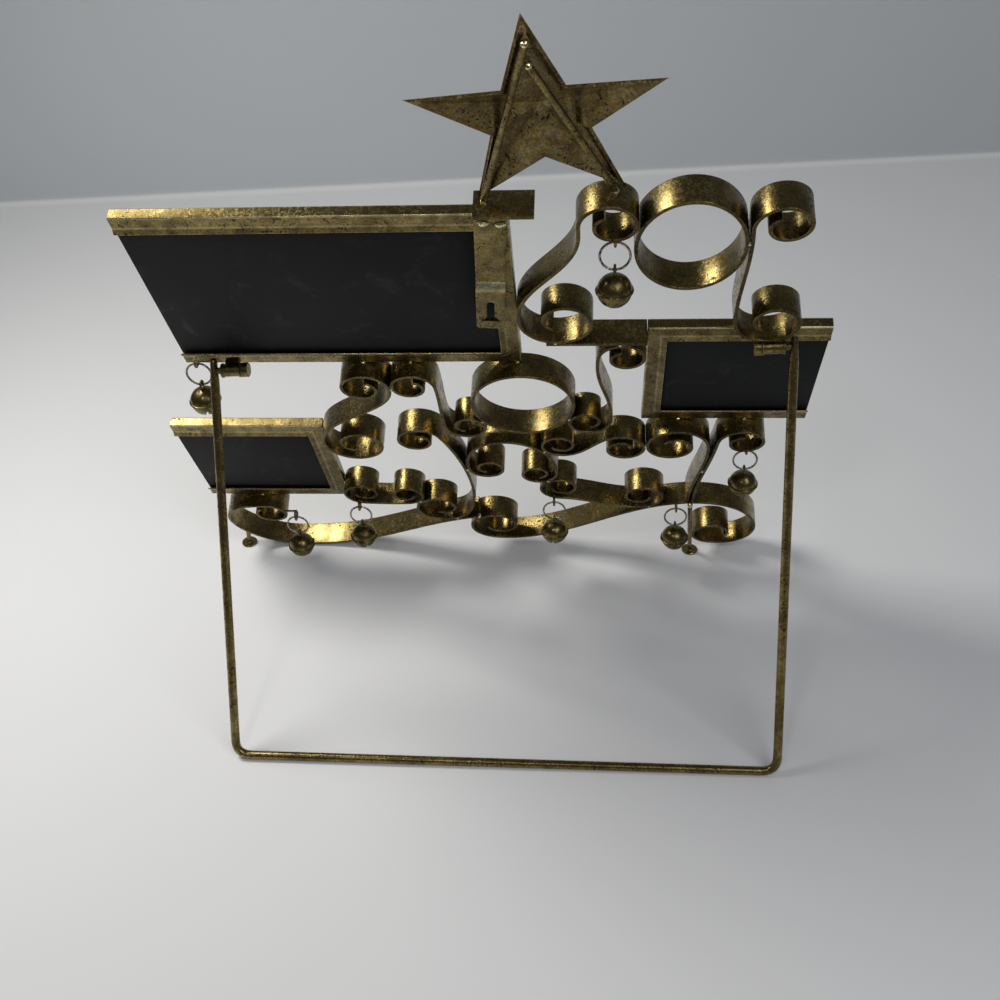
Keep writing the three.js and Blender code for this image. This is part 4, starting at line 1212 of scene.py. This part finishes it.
class PHOTOFRAME_OT_welds(Operator):
    """Weld beads where strips, channels and rods meet"""

    bl_idname = "photoframe.welds"
    bl_label = "Weld beads"

    def execute(self, context):
        rack = settings().rack
        rod_depth = STAR_AT[2] * MM + rack.gap + rack.rod
        seams = contact_places()
        rods = [(x * MM, y * MM, rod_depth) for ends in STAR_RODS.values() for x, y in ends]
        rods += [tuple(np.array(top) * MM) for top, _ in FEET.values()]
        strap = [(x * MM, y * MM, STRAP_SEAT * MM + rack.strip / 2) for x, y in STRAP_WELDS]
        half_sizes = np.array(BEAD_SHAPES) * rack.bead
        beads = [(place, half) for half, places in zip(half_sizes, (seams, rods, strap)) for place in places]
        shells = [bead_shell(leaned(np.array(place)), rack_axes(), half, BEAD_PHASE * i)
                  for i, (place, half) in enumerate(beads)]
        gilded("weld_beads", shells, "rack", maker=weld_finish_and_painted_highlight)
        return {"FINISHED"}


# Lamps as place, aim and width in metres, watts and tint: a key close by on the side of the large channel's
# open end, a broad fill and a small glint
LAMPS = (
    ("key", (0.36, -0.07, 0.55), (0.05, 0.05, 0.06), 0.22, 2.3, "#fffdf8"),
    ("fill", (-0.7, 0.85, 1.2), (-0.2, 0.1, 0), 0.9, 6, "#f6f8ff"),
    ("glint", (0.2, 0.75, 1.05), (0.0, 0.02, 0.15), 0.14, 0.8, "#fffdf8"),
)
WORLD_COLOUR, WORLD_STRENGTH = "#ced0d3", 0.14


class PHOTOFRAME_OT_stage(Operator):
    """Pale floor and wall, soft light and the camera"""

    bl_idname = "photoframe.stage"
    bl_label = "Stage"

    def execute(self, context):
        stage = settings().stage
        self.add_backdrop(stage)
        self.add_lights()
        self.add_camera(stage)
        context.scene.view_settings.view_transform = "Standard"
        return {"FINISHED"}

    def add_backdrop(self, stage):
        """A floor that turns up into a wall along a quarter circle, clear from its back, and floor beyond."""
        turn = np.linspace(0, math.pi / 2, 8)
        bend, reach = stage.wall_bend, stage.reach
        profile = np.concatenate([
            [(reach, 0.0)],
            np.stack([bend - bend * np.sin(turn), bend * (1 - np.cos(turn))], -1),
            [(0, stage.wall_height)],
        ])
        along = np.array([math.cos(stage.wall_turn), math.sin(stage.wall_turn), 0])
        forward = np.array([-along[1], along[0], 0])
        edges = stood(0, -stage.wall_place, 0) + np.array([reach, -reach])[None, :, None] * along
        sheet = edges + profile[:, None, :1] * forward + profile[:, None, 1:] * [0, 0, 1]
        beyond = edges + np.array([0, -reach])[:, None, None] * forward
        points = np.concatenate([sheet, beyond]).reshape(-1, 3)
        join = 2 * (len(sheet) - 1)
        faces = [(k, k + 1, k + 3, k + 2) for k in range(0, len(points) - 2, 2) if k != join]
        mesh = bpy.data.meshes.new("backdrop")
        mesh.from_pydata(points.tolist(), [], faces)
        mesh.polygons.foreach_set("use_smooth", np.ones(len(mesh.polygons), dtype=bool))
        material, tree, place = new_material("matt_paper_backdrop")
        height = add_node(tree, "ShaderNodeSeparateXYZ", {0: place}, "Z")
        rise = add_node(tree, "ShaderNodeMapRange", {
            "Value": height, "From Min": 0.2 * bend, "From Max": 0.6 * bend}, **SMOOTH)
        base = add_node(tree, "ShaderNodeMix", {0: rise, 6: stage.floor, 7: stage.wall}, 2, **COLOURS)
        paper = add_node(tree, "ShaderNodeBsdfPrincipled", {
            "Base Color": base, "Roughness": 0.9, "Specular IOR Level": 0.2})
        clear = add_node(tree, "ShaderNodeBsdfTransparent")
        behind = add_node(tree, "ShaderNodeNewGeometry", output="Backfacing")
        one_sided = add_node(tree, "ShaderNodeMixShader", {0: behind, 1: paper, 2: clear})
        add_node(tree, "ShaderNodeOutputMaterial", {"Surface": one_sided})
        mesh.materials.append(material)
        floor = bpy.data.objects.new("backdrop", mesh)
        bpy.context.scene.collection.objects.link(floor)

    def add_lights(self):
        """Square lamps, each turned from its place to its aim, in an even grey world."""
        for name, place, aim, width, power, tint in LAMPS:
            lamp = bpy.data.lights.new(name, "AREA")
            lamp.size = width
            lamp.energy = power
            lamp.color = linear(tint)
            lamp_object = bpy.data.objects.new(name, lamp)
            lamp_object.location = place
            lamp_object.rotation_euler = (Vector(aim) - Vector(place)).to_track_quat("-Z", "Y").to_euler()
            lamp_object.visible_camera = False
            bpy.context.scene.collection.objects.link(lamp_object)
        world = bpy.data.worlds.new("even_grey")
        world.use_nodes = True
        background = world.node_tree.nodes["Background"]
        background.inputs["Color"].default_value = (*linear(WORLD_COLOUR), 1)
        background.inputs["Strength"].default_value = WORLD_STRENGTH
        bpy.context.scene.world = world

    def add_camera(self, stage):
        """The camera looks down the yaw and pitch, then turns by the roll about its own axis."""
        camera = bpy.data.cameras.new("camera")
        camera.lens = stage.lens
        camera.sensor_width = 36
        level = Vector((math.sin(stage.yaw), -math.cos(stage.yaw), 0))
        ahead = level * math.cos(stage.pitch) - Vector((0, 0, math.sin(stage.pitch)))
        right = Vector((-math.cos(stage.yaw), -math.sin(stage.yaw), 0))
        down = ahead.cross(right)
        turned_right = math.cos(stage.roll) * right + math.sin(stage.roll) * down
        turned_down = math.cos(stage.roll) * down - math.sin(stage.roll) * right
        axes = Matrix((turned_right, -turned_down, -ahead)).transposed()
        camera_object = bpy.data.objects.new("camera", camera)
        place = Vector(leaned([0, 0, 0])) + Vector(stage.place)
        camera_object.matrix_world = Matrix.Translation(place) @ axes.to_4x4()
        bpy.context.scene.collection.objects.link(camera_object)
        bpy.context.scene.camera = camera_object


OPERATORS = (
    PHOTOFRAME_OT_strips,
    PHOTOFRAME_OT_channels,
    PHOTOFRAME_OT_sheets,
    PHOTOFRAME_OT_star,
    PHOTOFRAME_OT_strap,
    PHOTOFRAME_OT_feet,
    PHOTOFRAME_OT_hinge,
    PHOTOFRAME_OT_stand,
    PHOTOFRAME_OT_bells,
    PHOTOFRAME_OT_welds,
    PHOTOFRAME_OT_stage,
)


class PHOTOFRAME_PT_panel(Panel):
    """Lists the photo frame's operators and settings"""

    bl_label = "Photo frame"
    bl_idname = "PHOTOFRAME_PT_panel"
    bl_space_type = "VIEW_3D"
    bl_region_type = "UI"
    bl_category = "Photo frame"

    def draw(self, context):
        for operator in OPERATORS:
            self.layout.operator(operator.bl_idname)
        groups = settings()
        for group in (groups.rack, groups.bell, groups.stand, groups.finish, groups.stage):
            box = self.layout.box()
            for key in group.bl_rna.properties.keys():
                if key not in {"rna_type", "name"}:
                    box.prop(group, key)


CLASSES = (
    RackSettings,
    BellSettings,
    StandSettings,
    FinishSettings,
    StageSettings,
    PhotoFrameSettings,
    *OPERATORS,
    PHOTOFRAME_PT_panel,
)


def register():
    for cls in CLASSES:
        bpy.utils.register_class(cls)
    bpy.types.Scene.photo_frame = PointerProperty(type=PhotoFrameSettings)


def unregister():
    del bpy.types.Scene.photo_frame
    for cls in reversed(CLASSES):
        bpy.utils.unregister_class(cls)


def main():
    register()
    for operator in OPERATORS:
        group, name = operator.bl_idname.split(".")
        getattr(getattr(bpy.ops, group), name)()


if __name__ == "__main__":
    main()
